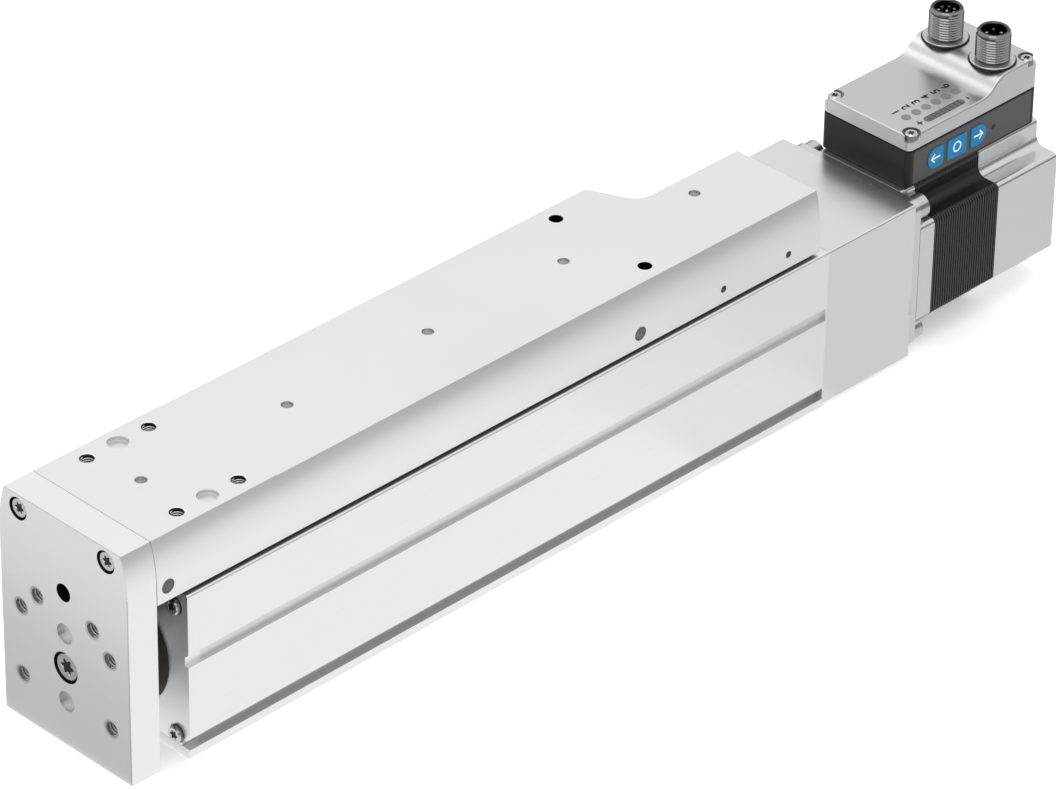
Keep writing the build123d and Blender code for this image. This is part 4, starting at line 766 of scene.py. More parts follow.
@dataclass
class GeometryKit:
    """Geometry node trees for what repeats, and the step that makes them plain meshes."""

    paint: Paintbox
    trees: dict[str, bpy.types.NodeTree] = field(default_factory=dict)

    def start(
        self, name: str, sockets: dict[str, str]
    ) -> tuple[bpy.types.NodeTree, bpy.types.Node, bpy.types.Node]:
        """Opens a tree with named inputs, a geometry input and a geometry output.

        Args:
            name: the tree's name.
            sockets: socket type for each input's name.

        Returns:
            The tree, its input node and its output node.
        """
        tree = bpy.data.node_groups.new(name, "GeometryNodeTree")
        face = tree.interface
        face.new_socket("Geometry", in_out="INPUT", socket_type="NodeSocketGeometry")
        for title, kind in sockets.items():
            face.new_socket(title, in_out="INPUT", socket_type=kind)
        face.new_socket("Geometry", in_out="OUTPUT", socket_type="NodeSocketGeometry")
        self.trees[name] = tree
        return tree, tree.nodes.new("NodeGroupInput"), tree.nodes.new("NodeGroupOutput")

    def close(
        self,
        tree: bpy.types.NodeTree,
        given: bpy.types.Node,
        shape: bpy.types.NodeSocket,
        result: bpy.types.Node,
    ) -> None:
        """Ends a tree: instances made real, then the finish set.

        Args:
            tree: the tree.
            given: its input node.
            shape: the geometry socket to end with.
            result: its output node.
        """
        real = tree.nodes.new("GeometryNodeRealizeInstances")
        wear = tree.nodes.new("GeometryNodeSetMaterial")
        link(tree, shape, real.inputs[0])
        link(tree, real.outputs[0], wear.inputs["Geometry"])
        link(tree, given.outputs["Finish"], wear.inputs["Material"])
        link(tree, wear.outputs[0], result.inputs[0])

    def row_tree(self) -> bpy.types.NodeTree:
        """Makes the tree that repeats its own geometry in a row.

        Returns:
            The tree, made on first use.
        """
        if "repeat_in_row" in self.trees:
            return self.trees["repeat_in_row"]
        sockets = {
            "Count": "NodeSocketInt",
            "Step": "NodeSocketVector",
            "Finish": "NodeSocketMaterial",
        }
        tree, given, result = self.start("repeat_in_row", sockets)
        line = tree.nodes.new("GeometryNodeMeshLine")
        copies = tree.nodes.new("GeometryNodeInstanceOnPoints")
        link(tree, given.outputs["Count"], line.inputs["Count"])
        link(tree, given.outputs["Step"], line.inputs["Offset"])
        link(tree, line.outputs[0], copies.inputs["Points"])
        link(tree, given.outputs["Geometry"], copies.inputs["Instance"])
        self.close(tree, given, copies.outputs[0], result)
        return tree

    def place_tree(self) -> bpy.types.NodeTree:
        """Makes the tree that puts one piece on each point of its geometry.

        Returns:
            The tree, made on first use.
        """
        if "set_at_places" in self.trees:
            return self.trees["set_at_places"]
        sockets = {"Piece": "NodeSocketObject", "Finish": "NodeSocketMaterial"}
        tree, given, result = self.start("set_at_places", sockets)
        source = tree.nodes.new("GeometryNodeObjectInfo")
        copies = tree.nodes.new("GeometryNodeInstanceOnPoints")
        link(tree, given.outputs["Piece"], source.inputs["Object"])
        link(tree, given.outputs["Geometry"], copies.inputs["Points"])
        link(tree, source.outputs["Geometry"], copies.inputs["Instance"])
        self.close(tree, given, copies.outputs[0], result)
        return tree

    def thread_tree(self) -> bpy.types.NodeTree:
        """Makes the tree that winds a thread's ridge at each point of its geometry.

        Returns:
            The tree, made on first use.
        """
        if "wind_thread" in self.trees:
            return self.trees["wind_thread"]
        sockets = {
            "Radius": "NodeSocketFloat",
            "Length": "NodeSocketFloat",
            "Turns": "NodeSocketFloat",
            "Ridge": "NodeSocketFloat",
            "Turned": "NodeSocketVector",
            "Finish": "NodeSocketMaterial",
        }
        tree, given, result = self.start("wind_thread", sockets)
        spiral = tree.nodes.new("GeometryNodeCurveSpiral")
        spiral.inputs["Resolution"].default_value = 36
        level = tree.nodes.new("GeometryNodeSetCurveNormal")
        level.mode = "Z_UP"
        profile = tree.nodes.new("GeometryNodeCurvePrimitiveCircle")
        profile.inputs["Resolution"].default_value = 4
        sweep = tree.nodes.new("GeometryNodeCurveToMesh")
        sweep.inputs["Fill Caps"].default_value = True
        smooth = tree.nodes.new("GeometryNodeSetShadeSmooth")
        smooth.inputs["Shade Smooth"].default_value = False
        copies = tree.nodes.new("GeometryNodeInstanceOnPoints")
        link(tree, given.outputs["Turns"], spiral.inputs["Rotations"])
        link(tree, given.outputs["Radius"], spiral.inputs["Start Radius"])
        link(tree, given.outputs["Radius"], spiral.inputs["End Radius"])
        link(tree, given.outputs["Length"], spiral.inputs["Height"])
        link(tree, given.outputs["Ridge"], profile.inputs["Radius"])
        link(tree, spiral.outputs[0], level.inputs[0])
        link(tree, level.outputs[0], sweep.inputs["Curve"])
        link(tree, profile.outputs[0], sweep.inputs["Profile Curve"])
        link(tree, sweep.outputs[0], smooth.inputs["Geometry"])
        link(tree, given.outputs["Geometry"], copies.inputs["Points"])
        link(tree, smooth.outputs[0], copies.inputs["Instance"])
        link(tree, given.outputs["Turned"], copies.inputs["Rotation"])
        self.close(tree, given, copies.outputs[0], result)
        return tree

    def run(
        self,
        name: str,
        tree: bpy.types.NodeTree,
        geometry: bpy.types.Object,
        finish: Finish,
        values: dict[str, object],
    ) -> bpy.types.Object:
        """Runs a tree on an object and keeps the result as a plain mesh.

        Args:
            name: the finished piece's name.
            tree: the geometry node tree.
            geometry: the object it starts from, which is used up.
            finish: the finish that the tree sets.
            values: a value for each other named input.

        Returns:
            The finished piece, at the origin.
        """
        material = self.paint.get(finish)
        modifier = geometry.modifiers.new(name, "NODES")
        modifier.node_group = tree
        keys = {
            item.name: item.identifier
            for item in tree.interface.items_tree
            if item.item_type == "SOCKET" and item.in_out == "INPUT"
        }
        for title, value in {**values, "Finish": material}.items():
            modifier[keys[title]] = value
        bpy.context.view_layer.update()
        graph = bpy.context.evaluated_depsgraph_get()
        mesh = bpy.data.meshes.new_from_object(geometry.evaluated_get(graph))
        geometry.modifiers.remove(modifier)
        piece = bpy.data.objects.new(name, mesh)
        bpy.context.scene.collection.objects.link(piece)
        bpy.data.objects.remove(geometry)
        return piece


def points_object(name: str, places: list[Point]) -> bpy.types.Object:
    """An object of loose points for a tree to build on.

    Args:
        name: the object's name.
        places: where the points are, in millimetres.

    Returns:
        The object, linked to the scene.
    """
    mesh = bpy.data.meshes.new(name)
    mesh.from_pydata([Vector(place) * MM for place in places], [], [])
    points = bpy.data.objects.new(name, mesh)
    bpy.context.scene.collection.objects.link(points)
    return points


def finish_mesh(
    name: str, shape: bmesh.types.BMesh, place: Matrix, smooth_below: float = 35.0
) -> bpy.types.Object:
    """Turns a drawn shape into an object at the origin.

    Args:
        name: the piece's name.
        shape: the mesh, drawn in millimetres, which is used up.
        place: the matrix that puts it in the slide's frame.
        smooth_below: the angle in degrees under which edges are shaded smooth.

    Returns:
        The object, with its place in its mesh.
    """
    bmesh.ops.remove_doubles(shape, verts=shape.verts, dist=0.0005)
    bmesh.ops.scale(shape, vec=(MM, MM, MM), verts=shape.verts)
    bmesh.ops.transform(shape, matrix=place, verts=shape.verts)
    bmesh.ops.recalc_face_normals(shape, faces=shape.faces)
    limit = math.radians(smooth_below)
    for polygon in shape.faces:
        polygon.smooth = True
    for edge in shape.edges:
        edge.smooth = len(edge.link_faces) == 2 and edge.calc_face_angle(0.0) < limit
    mesh = bpy.data.meshes.new(name)
    shape.to_mesh(mesh)
    shape.free()
    piece = bpy.data.objects.new(name, mesh)
    bpy.context.scene.collection.objects.link(piece)
    return piece


def around(steps: int) -> list[float]:
    """The angles of equal steps once round.

    Args:
        steps: how many there are.

    Returns:
        The angles in radians, from 0.
    """
    return [2 * math.pi * i / steps for i in range(steps)]


def arc(
    centre: tuple[float, float], radius: float, first: float, last: float, steps: int
) -> Outline:
    """The points of a round stretch of an outline.

    Args:
        centre: the round's centre.
        radius: its radius.
        first: the angle that it starts at, in degrees.
        last: the angle that it ends at.
        steps: how many straight pieces it has.

    Returns:
        Its points, one more than it has pieces.
    """
    angles = [math.radians(first + (last - first) * i / steps) for i in range(steps + 1)]
    x, y = centre
    return [(x + radius * math.cos(angle), y + radius * math.sin(angle)) for angle in angles]


def bridge(shape: bmesh.types.BMesh, rings: list[list[bmesh.types.BMVert]]) -> None:
    """Joins each ring of points to the next with a band of faces.

    Args:
        shape: the mesh.
        rings: the rings in order, as many points in each. A ring may be one point repeated.
    """
    for below, above in zip(rings, rings[1:]):
        for i in range(len(below)):
            k = (i + 1) % len(below)
            corners = dict.fromkeys((below[i], below[k], above[k], above[i]))
            shape.faces.new(tuple(corners))


def middle_of(node: str) -> Point:
    """The middle of a solid's box.

    Args:
        node: the solid's name.

    Returns:
        Its place in millimetres.
    """
    low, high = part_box(node)
    x, y, z = ((low[i] + high[i]) / 2 / MM for i in range(3))
    return (x, y, z)


def turned(name: str, profile: Outline, place: Matrix, steps: int = 72) -> bpy.types.Object:
    """A piece turned on a lathe.

    Args:
        name: the piece's name.
        profile: radius and height of each point, from one end of the axis to the other.
        place: where the axis stands.
        steps: how many facets it has around.

    Returns:
        The piece.
    """
    shape = bmesh.new()
    rings = []
    for radius, height in profile:
        if radius == 0:
            rings.append([shape.verts.new((0, 0, height))] * steps)
            continue
        ring = [(radius * math.cos(a), radius * math.sin(a), height) for a in around(steps)]
        rings.append([shape.verts.new(point) for point in ring])
    bridge(shape, rings)
    return finish_mesh(name, shape, place)


def plate(name: str, outline: Outline, thickness: float, place: Matrix) -> bpy.types.Object:
    """A flat plate of any outline, such as a printed mark.

    Args:
        name: the piece's name.
        outline: its corners in order, in millimetres.
        thickness: how far it stands out along its own Z.
        place: where it lies.

    Returns:
        The piece.
    """
    shape = bmesh.new()
    low = [shape.verts.new((x, y, 0)) for x, y in outline]
    high = [shape.verts.new((x, y, thickness)) for x, y in outline]
    shape.faces.new(reversed(low))
    shape.faces.new(high)
    for i, start in enumerate(low):
        k = (i + 1) % len(low)
        shape.faces.new((start, low[k], high[k], high[i]))
    return finish_mesh(name, shape, place, smooth_below=20.0)


@dataclass(frozen=True)
class LobedScrew:
    """A screw's head with a six-lobe recess, seat at the origin and top along Z."""

    radius: float
    height: float
    recess: float
    depth: float
    edge: float = 0.45
    shank: float = 1.5
    steps: int = 60
    knurl: float = 0.1
    lobe_count: int = 6
    lobe_mean: float = 0.81
    lobe_swing: float = 0.19
    recess_lip: float = 0.12
    floor_share: float = 0.98
    knurl_margin: float = 0.1
    # Size and place of the recess's painted shade sheet
    shade_sheet_share: float = 0.97
    shade_sheet_lift: float = 0.01
    shade_sheet_below: float = 0.3

    @property
    def angles(self) -> list[float]:
        """The angles of the head's facets."""
        return around(self.steps)

    def ring(
        self, shape: bmesh.types.BMesh, radii: list[float], level: float
    ) -> list[bmesh.types.BMVert]:
        """Adds one ring of points round the head's axis.

        Args:
            shape: the mesh.
            radii: one radius for each facet.
            level: the ring's height over the seat.

        Returns:
            The ring's points.
        """
        around_axis = zip(radii, self.angles)
        return [shape.verts.new((r * math.cos(a), r * math.sin(a), level)) for r, a in around_axis]

    def lobes(self, share: float = 1.0) -> list[float]:
        """The recess's radius at each step round the head.

        Args:
            share: the size wanted, as a share of the whole recess.

        Returns:
            One radius for each step.
        """
        swings = [self.lobe_swing * math.cos(self.lobe_count * a) for a in self.angles]
        return [share * self.recess * (self.lobe_mean + swing) for swing in swings]

    def draw_recess_shade(self, name: str, face: Face) -> bpy.types.Object:
        """Makes the dark sheet laid in the recess, as painted shade.

        Args:
            name: the piece's name.
            face: the way the head looks.

        Returns:
            The sheet, placed for a seat at the origin.
        """
        radii = self.lobes(self.shade_sheet_share)
        outline = [(r * math.cos(a), r * math.sin(a)) for r, a in zip(radii, self.angles)]
        lift = Matrix.Translation((0.0, 0.0, (self.height - self.depth + self.shade_sheet_lift) * MM))
        return plate(name, outline, self.depth - self.shade_sheet_below, face.at(0, 0, 0) @ lift)

    def draw_knurl(self, name: str, face: Face) -> bpy.types.Object:
        """Makes the knurled band round the head, whose darker finish is partly painted shade of the
        gap round it.

        Args:
            name: the piece's name.
            face: the way the head looks.

        Returns:
            The band, placed for a seat at the origin.
        """
        shape = bmesh.new()
        inner = self.radius - 2 * self.knurl
        low = self.knurl_margin * self.height
        high = self.height - self.edge - self.knurl_margin
        rings = []
        for reach, level in ((0, low), (self.knurl, low), (self.knurl, high), (0, high), (0, low)):
            radii = [inner + reach * (2 if i % 2 else 1) for i in range(self.steps)]
            rings.append(self.ring(shape, radii, level))
        bridge(shape, rings)
        return finish_mesh(name, shape, face.at(0, 0, 0), smooth_below=10.0)

    def draw(self, name: str, face: Face) -> bpy.types.Object:
        """Makes the head.

        Args:
            name: the piece's name.
            face: the way the head looks.

        Returns:
            The head, with its seat at the origin.
        """
        shape = bmesh.new()
        lobes = self.lobes()
        side = self.radius - 1.5 * self.knurl
        levels = [
            ([self.shank] * self.steps, -self.shank),
            ([self.shank] * self.steps, 0.0),
            ([side] * self.steps, 0.0),
            ([side] * self.steps, self.height - self.edge),
            ([self.radius] * self.steps, self.height - self.edge),
            ([self.radius - self.edge] * self.steps, self.height),
            ([r + self.recess_lip for r in lobes], self.height),
            (lobes, self.height - self.recess_lip),
            ([r * self.floor_share for r in lobes], self.height - self.depth),
        ]
        rings = [self.ring(shape, radii, level) for radii, level in levels]
        bridge(shape, rings)
        shape.faces.new(reversed(rings[0]))
        shape.faces.new(rings[-1])
        return finish_mesh(name, shape, face.at(0, 0, 0))


@dataclass
class Assembly:
    """What every sub-assembly shares: its finishes, its trees and the body it rides on."""

    paint: Paintbox
    kit: GeometryKit
    body: str = "base"

    def keep(
        self, piece: bpy.types.Object, finish: Finish, slot: str, *replaced: str, body: str = ""
    ) -> None:
        """Dresses a piece and seats it on its body.

        Args:
            piece: the finished piece.
            finish: its finish.
            slot: the record's material slot that it stands for; not used.
            replaced: the solids that it shows instead of.
            body: the body it rides on, if not the sub-assembly's own.
        """
        piece.data.materials.clear()
        piece.data.materials.append(self.paint.get(finish))
        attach(piece, body or self.body)
        if replaced:
            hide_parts(*replaced)
        LOG.info("%s rides on %s", piece.name, body or self.body)

    def screws(
        self,
        name: str,
        screw: LobedScrew,
        face: Face,
        places: list[Point],
        replaced: str,
    ) -> None:
        """Sets the same screw at several places and shows them instead of the solids.

        Args:
            name: the group's name.
            screw: the screw's head.
            face: the way the heads look.
            places: where their seats are.
            replaced: the node with the plain screws.
        """
        parts = (
            (name, screw.draw, SCREW, (replaced,)),
            # painted shade: a dark sheet in each recess
            (f"{name}_recesses", screw.draw_recess_shade, RECESS_SHADE, ()),
            # knurled band, partly painted shade of the gap round the head
            (f"{name}_knurls", screw.draw_knurl, KNURL_AND_GAP_SHADE, ()),
        )
        for title, draw, finish, shown_for in parts if screw.knurl else parts[:2]:
            template = draw(f"{title}_template", face)
            points = points_object(f"{title}_places", places)
            piece = self.kit.run(title, self.kit.place_tree(), points, finish, {"Piece": template})
            bpy.data.objects.remove(template)
            self.keep(piece, finish, "screw_steel", *shown_for)

    def threads(
        self,
        name: str,
        radius: float,
        pitch: float,
        length: float,
        turned_by: Point,
        places: list[Point],
        finish: Finish = THREAD_PAINTED_SHADE,
        slot: str = "screw_steel",
        ridge: float = 0.45,
    ) -> None:
        """Winds thread ridges at several places.

        Args:
            name: the piece's name.
            radius: the wall that the ridges stand on, in millimetres.
            pitch: the thread's pitch.
            length: how long the thread is.
            turned_by: the turn that points the winding the right way.
            places: where the threads start.
            finish: the ridges' finish.
            slot: the record's material slot.
            ridge: the ridge's half width as a share of the pitch.
        """
        values = {
            "Radius": radius * MM,
            "Length": length * MM,
            "Turns": length / pitch,
            "Ridge": pitch * ridge * MM,
            "Turned": turned_by,
        }
        points = points_object(f"{name}_places", places)
        piece = self.kit.run(name, self.kit.thread_tree(), points, finish, values)
        self.keep(piece, finish, slot)


@dataclass
class TableGroup(Assembly):
    """The slide table and the yoke plate, with their threads and screws."""

    body: str = "table"
    table_front: float = -151.7
    table_top: float = 83.3
    pad_x: float = 28.6
    pad_pitch: float = 25.0
    hole_spacing: float = 40.0
    yoke_thickness: float = 12.0
    pad_thread: float = 2.25
    yoke_thread: float = 2.62
    upper_spacing: float = 25.0
    upper_z: float = 50.0
    pad_thread_deep: float = 7.0
    yoke_thread_in: float = 1.0
    yoke_screw_seat: float = 4.5
    rod_screw_seat: float = 6.5

    def build(self) -> None:
        """Makes the threads and the screws."""
        low = self.table_top - self.pad_thread_deep
        pad = [
            (
                self.table_front + self.pad_x + along * self.pad_pitch / 2,
                side * self.hole_spacing / 2,
                low,
            )
            for along in (-1, 1)
            for side in (-1, 1)
        ]
        self.threads(
            "pad_threads", self.pad_thread, pitch=0.8, length=6.2, turned_by=(0, 0, 0), places=pad
        )
        front = self.table_front - self.yoke_thickness
        start = front + self.yoke_thread_in
        yoke = [
            (start, side * self.hole_spacing / 2, AXIS_HEIGHT + rise * self.pad_pitch / 2)
            for side in (-1, 1)
            for rise in (-1, 1)
        ]
        yoke += [(start, side * self.upper_spacing / 2, self.upper_z) for side in (-1, 1)]
        self.threads(
            "yoke_threads",
            self.yoke_thread,
            pitch=1.0,
            length=10.0,
            turned_by=(0, QUARTER_TURN, 0),
            places=yoke,
            ridge=0.32,
        )
        self.screws(
            "yoke_screw_heads",
            LobedScrew(radius=3.5, height=4.0, recess=2.0, depth=2.6, shank=2.0),
            Face.FRONT,
            [(front + self.yoke_screw_seat, side * YOKE_SCREW_Y, YOKE_SCREW_Z) for side in (-1, 1)],
            "yoke_screws",
        )
        self.screws(
            "rod_screw_head",
            LobedScrew(radius=5.0, height=6.0, recess=2.9, depth=3.2, edge=0.6, shank=3.0),
            Face.FRONT,
            [(front + self.rod_screw_seat, 0.0, AXIS_HEIGHT)],
            "rod_screw",
        )


@dataclass
class HousingGroup(Assembly):
    """The front cover's screws."""

    front: float = -141.0
    seat_in: float = 0.8
    screw_y: float = 24.3
    screw_low: float = 7.1
    screw_high: float = 54.3

    def build(self) -> None:
        """Makes the four screw heads."""
        places = [
            (self.front + self.seat_in, side * self.screw_y, z)
            for side in (-1, 1)
            for z in (self.screw_low, self.screw_high)
        ]
        head = LobedScrew(radius=2.9, height=2.4, recess=1.7, depth=1.7, edge=0.5)
        self.screws("front_cover_screw_heads", head, Face.FRONT, places, "front_cover_screws")


@dataclass
class MotorGroup(Assembly):
    """The motor's ribbed stack and its flange screws."""

    stack_front: float = 195.4
    stack_length: float = 32.0
    half: float = 28.2
    arm: float = 18.7
    neck_round: float = 3.5
    corner_round: float = 1.8
    rib_count: int = 27
    rib_depth: float = 0.45
    rib_share: float = 0.55
    flange_rear: float = 188.5
    bolt_square: float = 47.14

    def outline(self, half: float) -> Outline:
        """The cross shape of the motor about its axis.

        Args:
            half: half the width across the cross.

        Returns:
            The outline's points in order.
        """
        far, near = half - self.corner_round, self.arm - self.corner_round
        neck = self.arm + self.neck_round
        quarter = [
            *arc((far, near), self.corner_round, 0, 90, 6),
            *arc((neck, neck), self.neck_round, 270, 180, 8),
            *arc((near, far), self.corner_round, 0, 90, 6),
        ]
        outline: Outline = []
        for turn in range(4):
            cosine = round(math.cos(turn * QUARTER_TURN))
            sine = round(math.sin(turn * QUARTER_TURN))
            outline += [(x * cosine - y * sine, x * sine + y * cosine) for x, y in quarter]
        return outline

    def build(self) -> None:
        """Makes the stack and the screw heads."""
        pitch = self.stack_length / self.rib_count
        thickness = pitch * self.rib_share
        gap = (pitch - thickness) / 2
        rib = plate(
            "stator_rib",
            self.outline(self.half),
            thickness,
            Face.REAR.at(self.stack_front + gap, 0, AXIS_HEIGHT),
        )
        values = {"Count": self.rib_count, "Step": (pitch * MM, 0.0, 0.0)}
        ribs = self.kit.run("stator_ribs", self.kit.row_tree(), rib, LAMINATION, values)
        self.keep(ribs, LAMINATION, "black_laminations", "stator")
        core = plate(
            "stator_core",
            self.outline(self.half - self.rib_depth),
            self.stack_length,
            Face.REAR.at(self.stack_front, 0, AXIS_HEIGHT),
        )
        self.keep(core, LAMINATION, "black_laminations")
        places = [
            (
                self.flange_rear,
                side * self.bolt_square / 2,
                AXIS_HEIGHT + rise * self.bolt_square / 2,
            )
            for side in (-1, 1)
            for rise in (-1, 1)
        ]
        head = LobedScrew(
            radius=4.25, height=5.0, recess=2.3, depth=2.4, edge=0.5, shank=2.5, knurl=0.0
        )
        self.screws("motor_screw_heads", head, Face.REAR, places, "motor_screws")


@dataclass
class DriveGroup(Assembly):
    """The drive unit's connectors, screws and printed marks."""

    connector_low: float = 78.0
    cover_high: float = 84.0
    top: float = 96.0
    stem: float = 6.8
    foot: float = 7.4
    foot_height: float = 1.0
    seal_height: float = 0.42
    flange: float = 7.8
    thread_root: float = 5.53
    thread_crest: float = 5.99
    bore: float = 4.3
    pitch: float = 0.95
    thread_short: float = 2.1
    thread_from: float = 0.5
    clearance: float = 0.02
    rim_low: float = 1.2
    rim_high: float = 0.5
    cover_screw: float = 2.25
    front_pocket_z: float = 75.8
    rear_pocket_z: float = 81.6
    print_height: float = 0.02
    print_gap: float = 0.01
    low_roof: float = 78.2
    figure_size: float = 4.6
    figure_weight: float = 0.07
    sign_size: float = 4.8
    lamp_x: float = 199.8
    lamp_y: float = -9.5
    lamp_pitch: float = 4.92
    lamp_count: int = 6
    sign_y: float = -15.2
    plus_x: float = 200.5
    minus_x: float = 223.6
    status_x: float = 42.2
    status_radius: float = 0.99

    def shell_profile(self) -> Outline:
        """The profile of an inlet's shell.

        Returns:
            Radius and height of its points.
        """
        seal_top = self.cover_high + self.seal_height
        return [
            (self.bore, self.connector_low),
            (self.stem, self.connector_low),
            (self.stem, self.cover_high),
            (self.foot - self.clearance, self.cover_high),
            (self.foot - self.clearance, seal_top),
            (self.thread_root, seal_top),
            (self.thread_root, self.top - 1.5),
            (self.thread_root + 0.1, self.top - self.rim_low),
            (self.thread_root + 0.1, self.top - self.rim_high),
            (self.thread_root - 0.35, self.top),
            (self.bore + 0.3, self.top),
            (self.bore, self.top - 0.3),
            (self.bore, self.connector_low),
        ]

    def foot_profile(self) -> Outline:
        """The profile of the ring that an inlet stands on.

        Returns:
            Radius and height of its points.
        """
        low = self.cover_high + self.seal_height
        high = self.cover_high + self.foot_height
        return [
            (self.thread_root, low),
            (self.flange, low),
            (self.flange, high - 0.15),
            (self.flange - 0.15, high),
            (self.thread_root, high),
            (self.thread_root, low),
        ]

    def rim_profile(self) -> Outline:
        """The profile of an inlet's rim, a hair inside the shell's own top, brightened as a painted
        highlight.

        Returns:
            Radius and height of its points.
        """
        return [
            (self.thread_root + 0.11, self.top - self.rim_low),
            (self.thread_root + 0.11, self.top - self.rim_high),
            (self.thread_root - 0.34, self.top - 0.01),
            (self.bore + 0.3, self.top - 0.01),
            (self.bore + 0.3, self.top - 0.4),
            (self.thread_root - 0.4, self.top - self.rim_low),
            (self.thread_root + 0.11, self.top - self.rim_low),
        ]

    def connectors(self) -> None:
        """Turns the two shells and winds their outer threads."""
        foot_top = self.cover_high + self.foot_height
        for use in ("power", "signal"):
            node = f"{use}_connector_shell"
            x, y, _ = middle_of(node)
            place = Face.UP.at(x, y, 0)
            # The shell's nickel is darkened as painted shade
            shell = turned(f"{use}_connector_body", self.shell_profile(), place)
            self.keep(shell, NICKEL_PAINTED_SHADE, "nickel", node)
            foot = turned(f"{use}_connector_foot", self.foot_profile(), place)
            self.keep(foot, CAST, "nickel")
            # The rim piece is a painted highlight in brighter nickel
            rim = turned(f"{use}_connector_rim", self.rim_profile(), place)
            self.keep(rim, NICKEL_PAINTED_HIGHLIGHT, "nickel")
            # The thread ridges wear brighter nickel as a painted highlight
            self.threads(
                f"{use}_connector_thread",
                self.thread_root,
                self.pitch,
                length=self.top - self.thread_short - foot_top,
                turned_by=(0, 0, 0),
                places=[(x, y, foot_top + self.thread_from)],
                finish=NICKEL_PAINTED_HIGHLIGHT,
                slot="nickel",
                ridge=(self.thread_crest - self.thread_root) / self.pitch,
            )

    def cover_screws(self) -> None:
        """Sets the four screws in the cover's corner pockets."""
        low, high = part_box("drive_cover_screws")
        radius = self.cover_screw
        ends = [
            (low[0] / MM + radius, self.front_pocket_z),
            (high[0] / MM - radius, self.rear_pocket_z),
        ]
        side = high[1] / MM - radius
        places = [(x, sign * side, z) for x, z in ends for sign in (-1, 1)]
        head = LobedScrew(radius, height=2.2, recess=1.35, depth=1.5, edge=0.35, shank=1.25)
        self.screws("drive_cover_screw_heads", head, Face.UP, places, "drive_cover_screws")

    def arrow(self, node: str, body: str, direction: int) -> None:
        """Prints an arrow on a key.

        Args:
            node: the key's solid.
            body: the key's body.
            direction: 1 for an arrow towards the motor, -1 for one towards the yoke.
        """
        half, stroke = 0.3, 0.55
        tip, tail, wing = 2.4, -2.3, 1.8
        across, step = stroke * math.sqrt(2), stroke / math.sqrt(2)
        outline = [
            (tail, -half),
            (tip - across - half, -half),
            (tip - wing - step, step - wing),
            (tip - wing, -wing),
            (tip, 0.0),
            (tip - wing, wing),
            (tip - wing - step, wing - step),
            (tip - across - half, half),
            (tail, half),
        ]
        if direction < 0:
            outline = [(-x, y) for x, y in reversed(outline)]
        mark = plate(f"{node}_arrow", outline, self.print_height, self.key_face(node))
        self.keep(mark, WHITE_MARK, "blue_keys", body=body)

    def key_face(self, node: str) -> Matrix:
        """Finds the middle of a key's outer face.

        Args:
            node: the key's solid.

        Returns:
            The matrix that puts a flat drawing there.
        """
        x, _, z = middle_of(node)
        return Face.NEAR.at(x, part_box(node)[0][1] / MM, z)

    def ring_mark(self) -> None:
        """Prints a ring on the middle key."""
        inner, outer, high = 1.45, 2.05, self.print_height
        profile = [(inner, 0.0), (outer, 0.0), (outer, high), (inner, high), (inner, 0.0)]
        ring = turned("key_middle_ring", profile, self.key_face("key_middle"), 48)
        self.keep(ring, WHITE_MARK, "blue_keys", body="middle_key")

    def figure(self, name: str, text: str, size: float, place: Matrix, finish: Finish) -> None:
        """Prints a plain figure or sign.

        Args:
            name: the piece's name.
            text: the figure.
            size: its height in millimetres.
            place: where its middle lies.
            finish: the ink.
        """
        curve = bpy.data.curves.new(name, "FONT")
        curve.body = text
        curve.align_x = "CENTER"
        curve.align_y = "CENTER"
        curve.size = size * MM
        curve.extrude = self.print_height * MM
        curve.offset = self.figure_weight * MM
        curve.resolution_u = 4
        drawn = bpy.data.objects.new(f"{name}_curve", curve)
        bpy.context.scene.collection.objects.link(drawn)
        bpy.context.view_layer.update()
        graph = bpy.context.evaluated_depsgraph_get()
        mesh = bpy.data.meshes.new_from_object(drawn.evaluated_get(graph))
        bpy.data.objects.remove(drawn)
        mesh.transform(place)
        piece = bpy.data.objects.new(name, mesh)
        bpy.context.scene.collection.objects.link(piece)
        self.keep(piece, finish, "black_plastic")

    def marks(self) -> None:
        """Prints the figures beside the lamps, and the bar's signs."""
        roof = self.low_roof + self.print_height + self.print_gap
        turn = Matrix.Rotation(QUARTER_TURN, 4, "Z")
        for number in range(self.lamp_count):
            x, y = self.lamp_x + number * self.lamp_pitch, self.lamp_y + self.figure_size
            place = Face.UP.at(x, y, roof) @ turn
            title = f"lamp_figure_{number + 1}"
            self.figure(title, str(number + 1), self.figure_size, place, BLACK_MARK)
        for name, text, x in (("plus", "+", self.plus_x), ("minus", "-", self.minus_x)):
            place = Face.UP.at(x, self.sign_y, roof) @ turn
            self.figure(f"bar_sign_{name}", text, self.sign_size, place, BLACK_MARK)

    def status_window(self) -> None:
        """Sets a dark window on the status lamp."""
        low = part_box("lamp_lenses")[0]
        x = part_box("drive_cover")[0][0] / MM + self.status_x
        place = Face.NEAR.at(x, low[1] / MM, low[2] / MM + 1.0)
        radius, high = self.status_radius, self.print_height
        profile = [(0.0, 0.0), (radius, 0.0), (radius, high), (0.0, high)]
        window = turned("status_lamp_window", profile, place, 32)
        self.keep(window, BLACK_PLASTIC, "black_plastic")

    def middle_contact(self) -> None:
        """Sets the signal inlet's eighth contact, in the middle of its circle."""
        x, y, _ = middle_of("signal_connector_shell")
        low, high, radius, tip = 88.0, 94.5, 0.5, 0.3
        profile = [
            (0.0, low),
            (radius, low),
            (radius, high - tip),
            (radius - tip, high),
            (0.0, high),
        ]
        pin = turned("signal_middle_contact", profile, Face.UP.at(x, y, 0), 24)
        self.keep(pin, CONTACT, "gold_plate")

    def build(self) -> None:
        """Makes everything the drive unit carries."""
        self.connectors()
        self.middle_contact()
        self.status_window()
        self.cover_screws()
        self.arrow("key_left", "left_key", -1)
        self.arrow("key_right", "right_key", 1)
        self.ring_mark()
        self.marks()


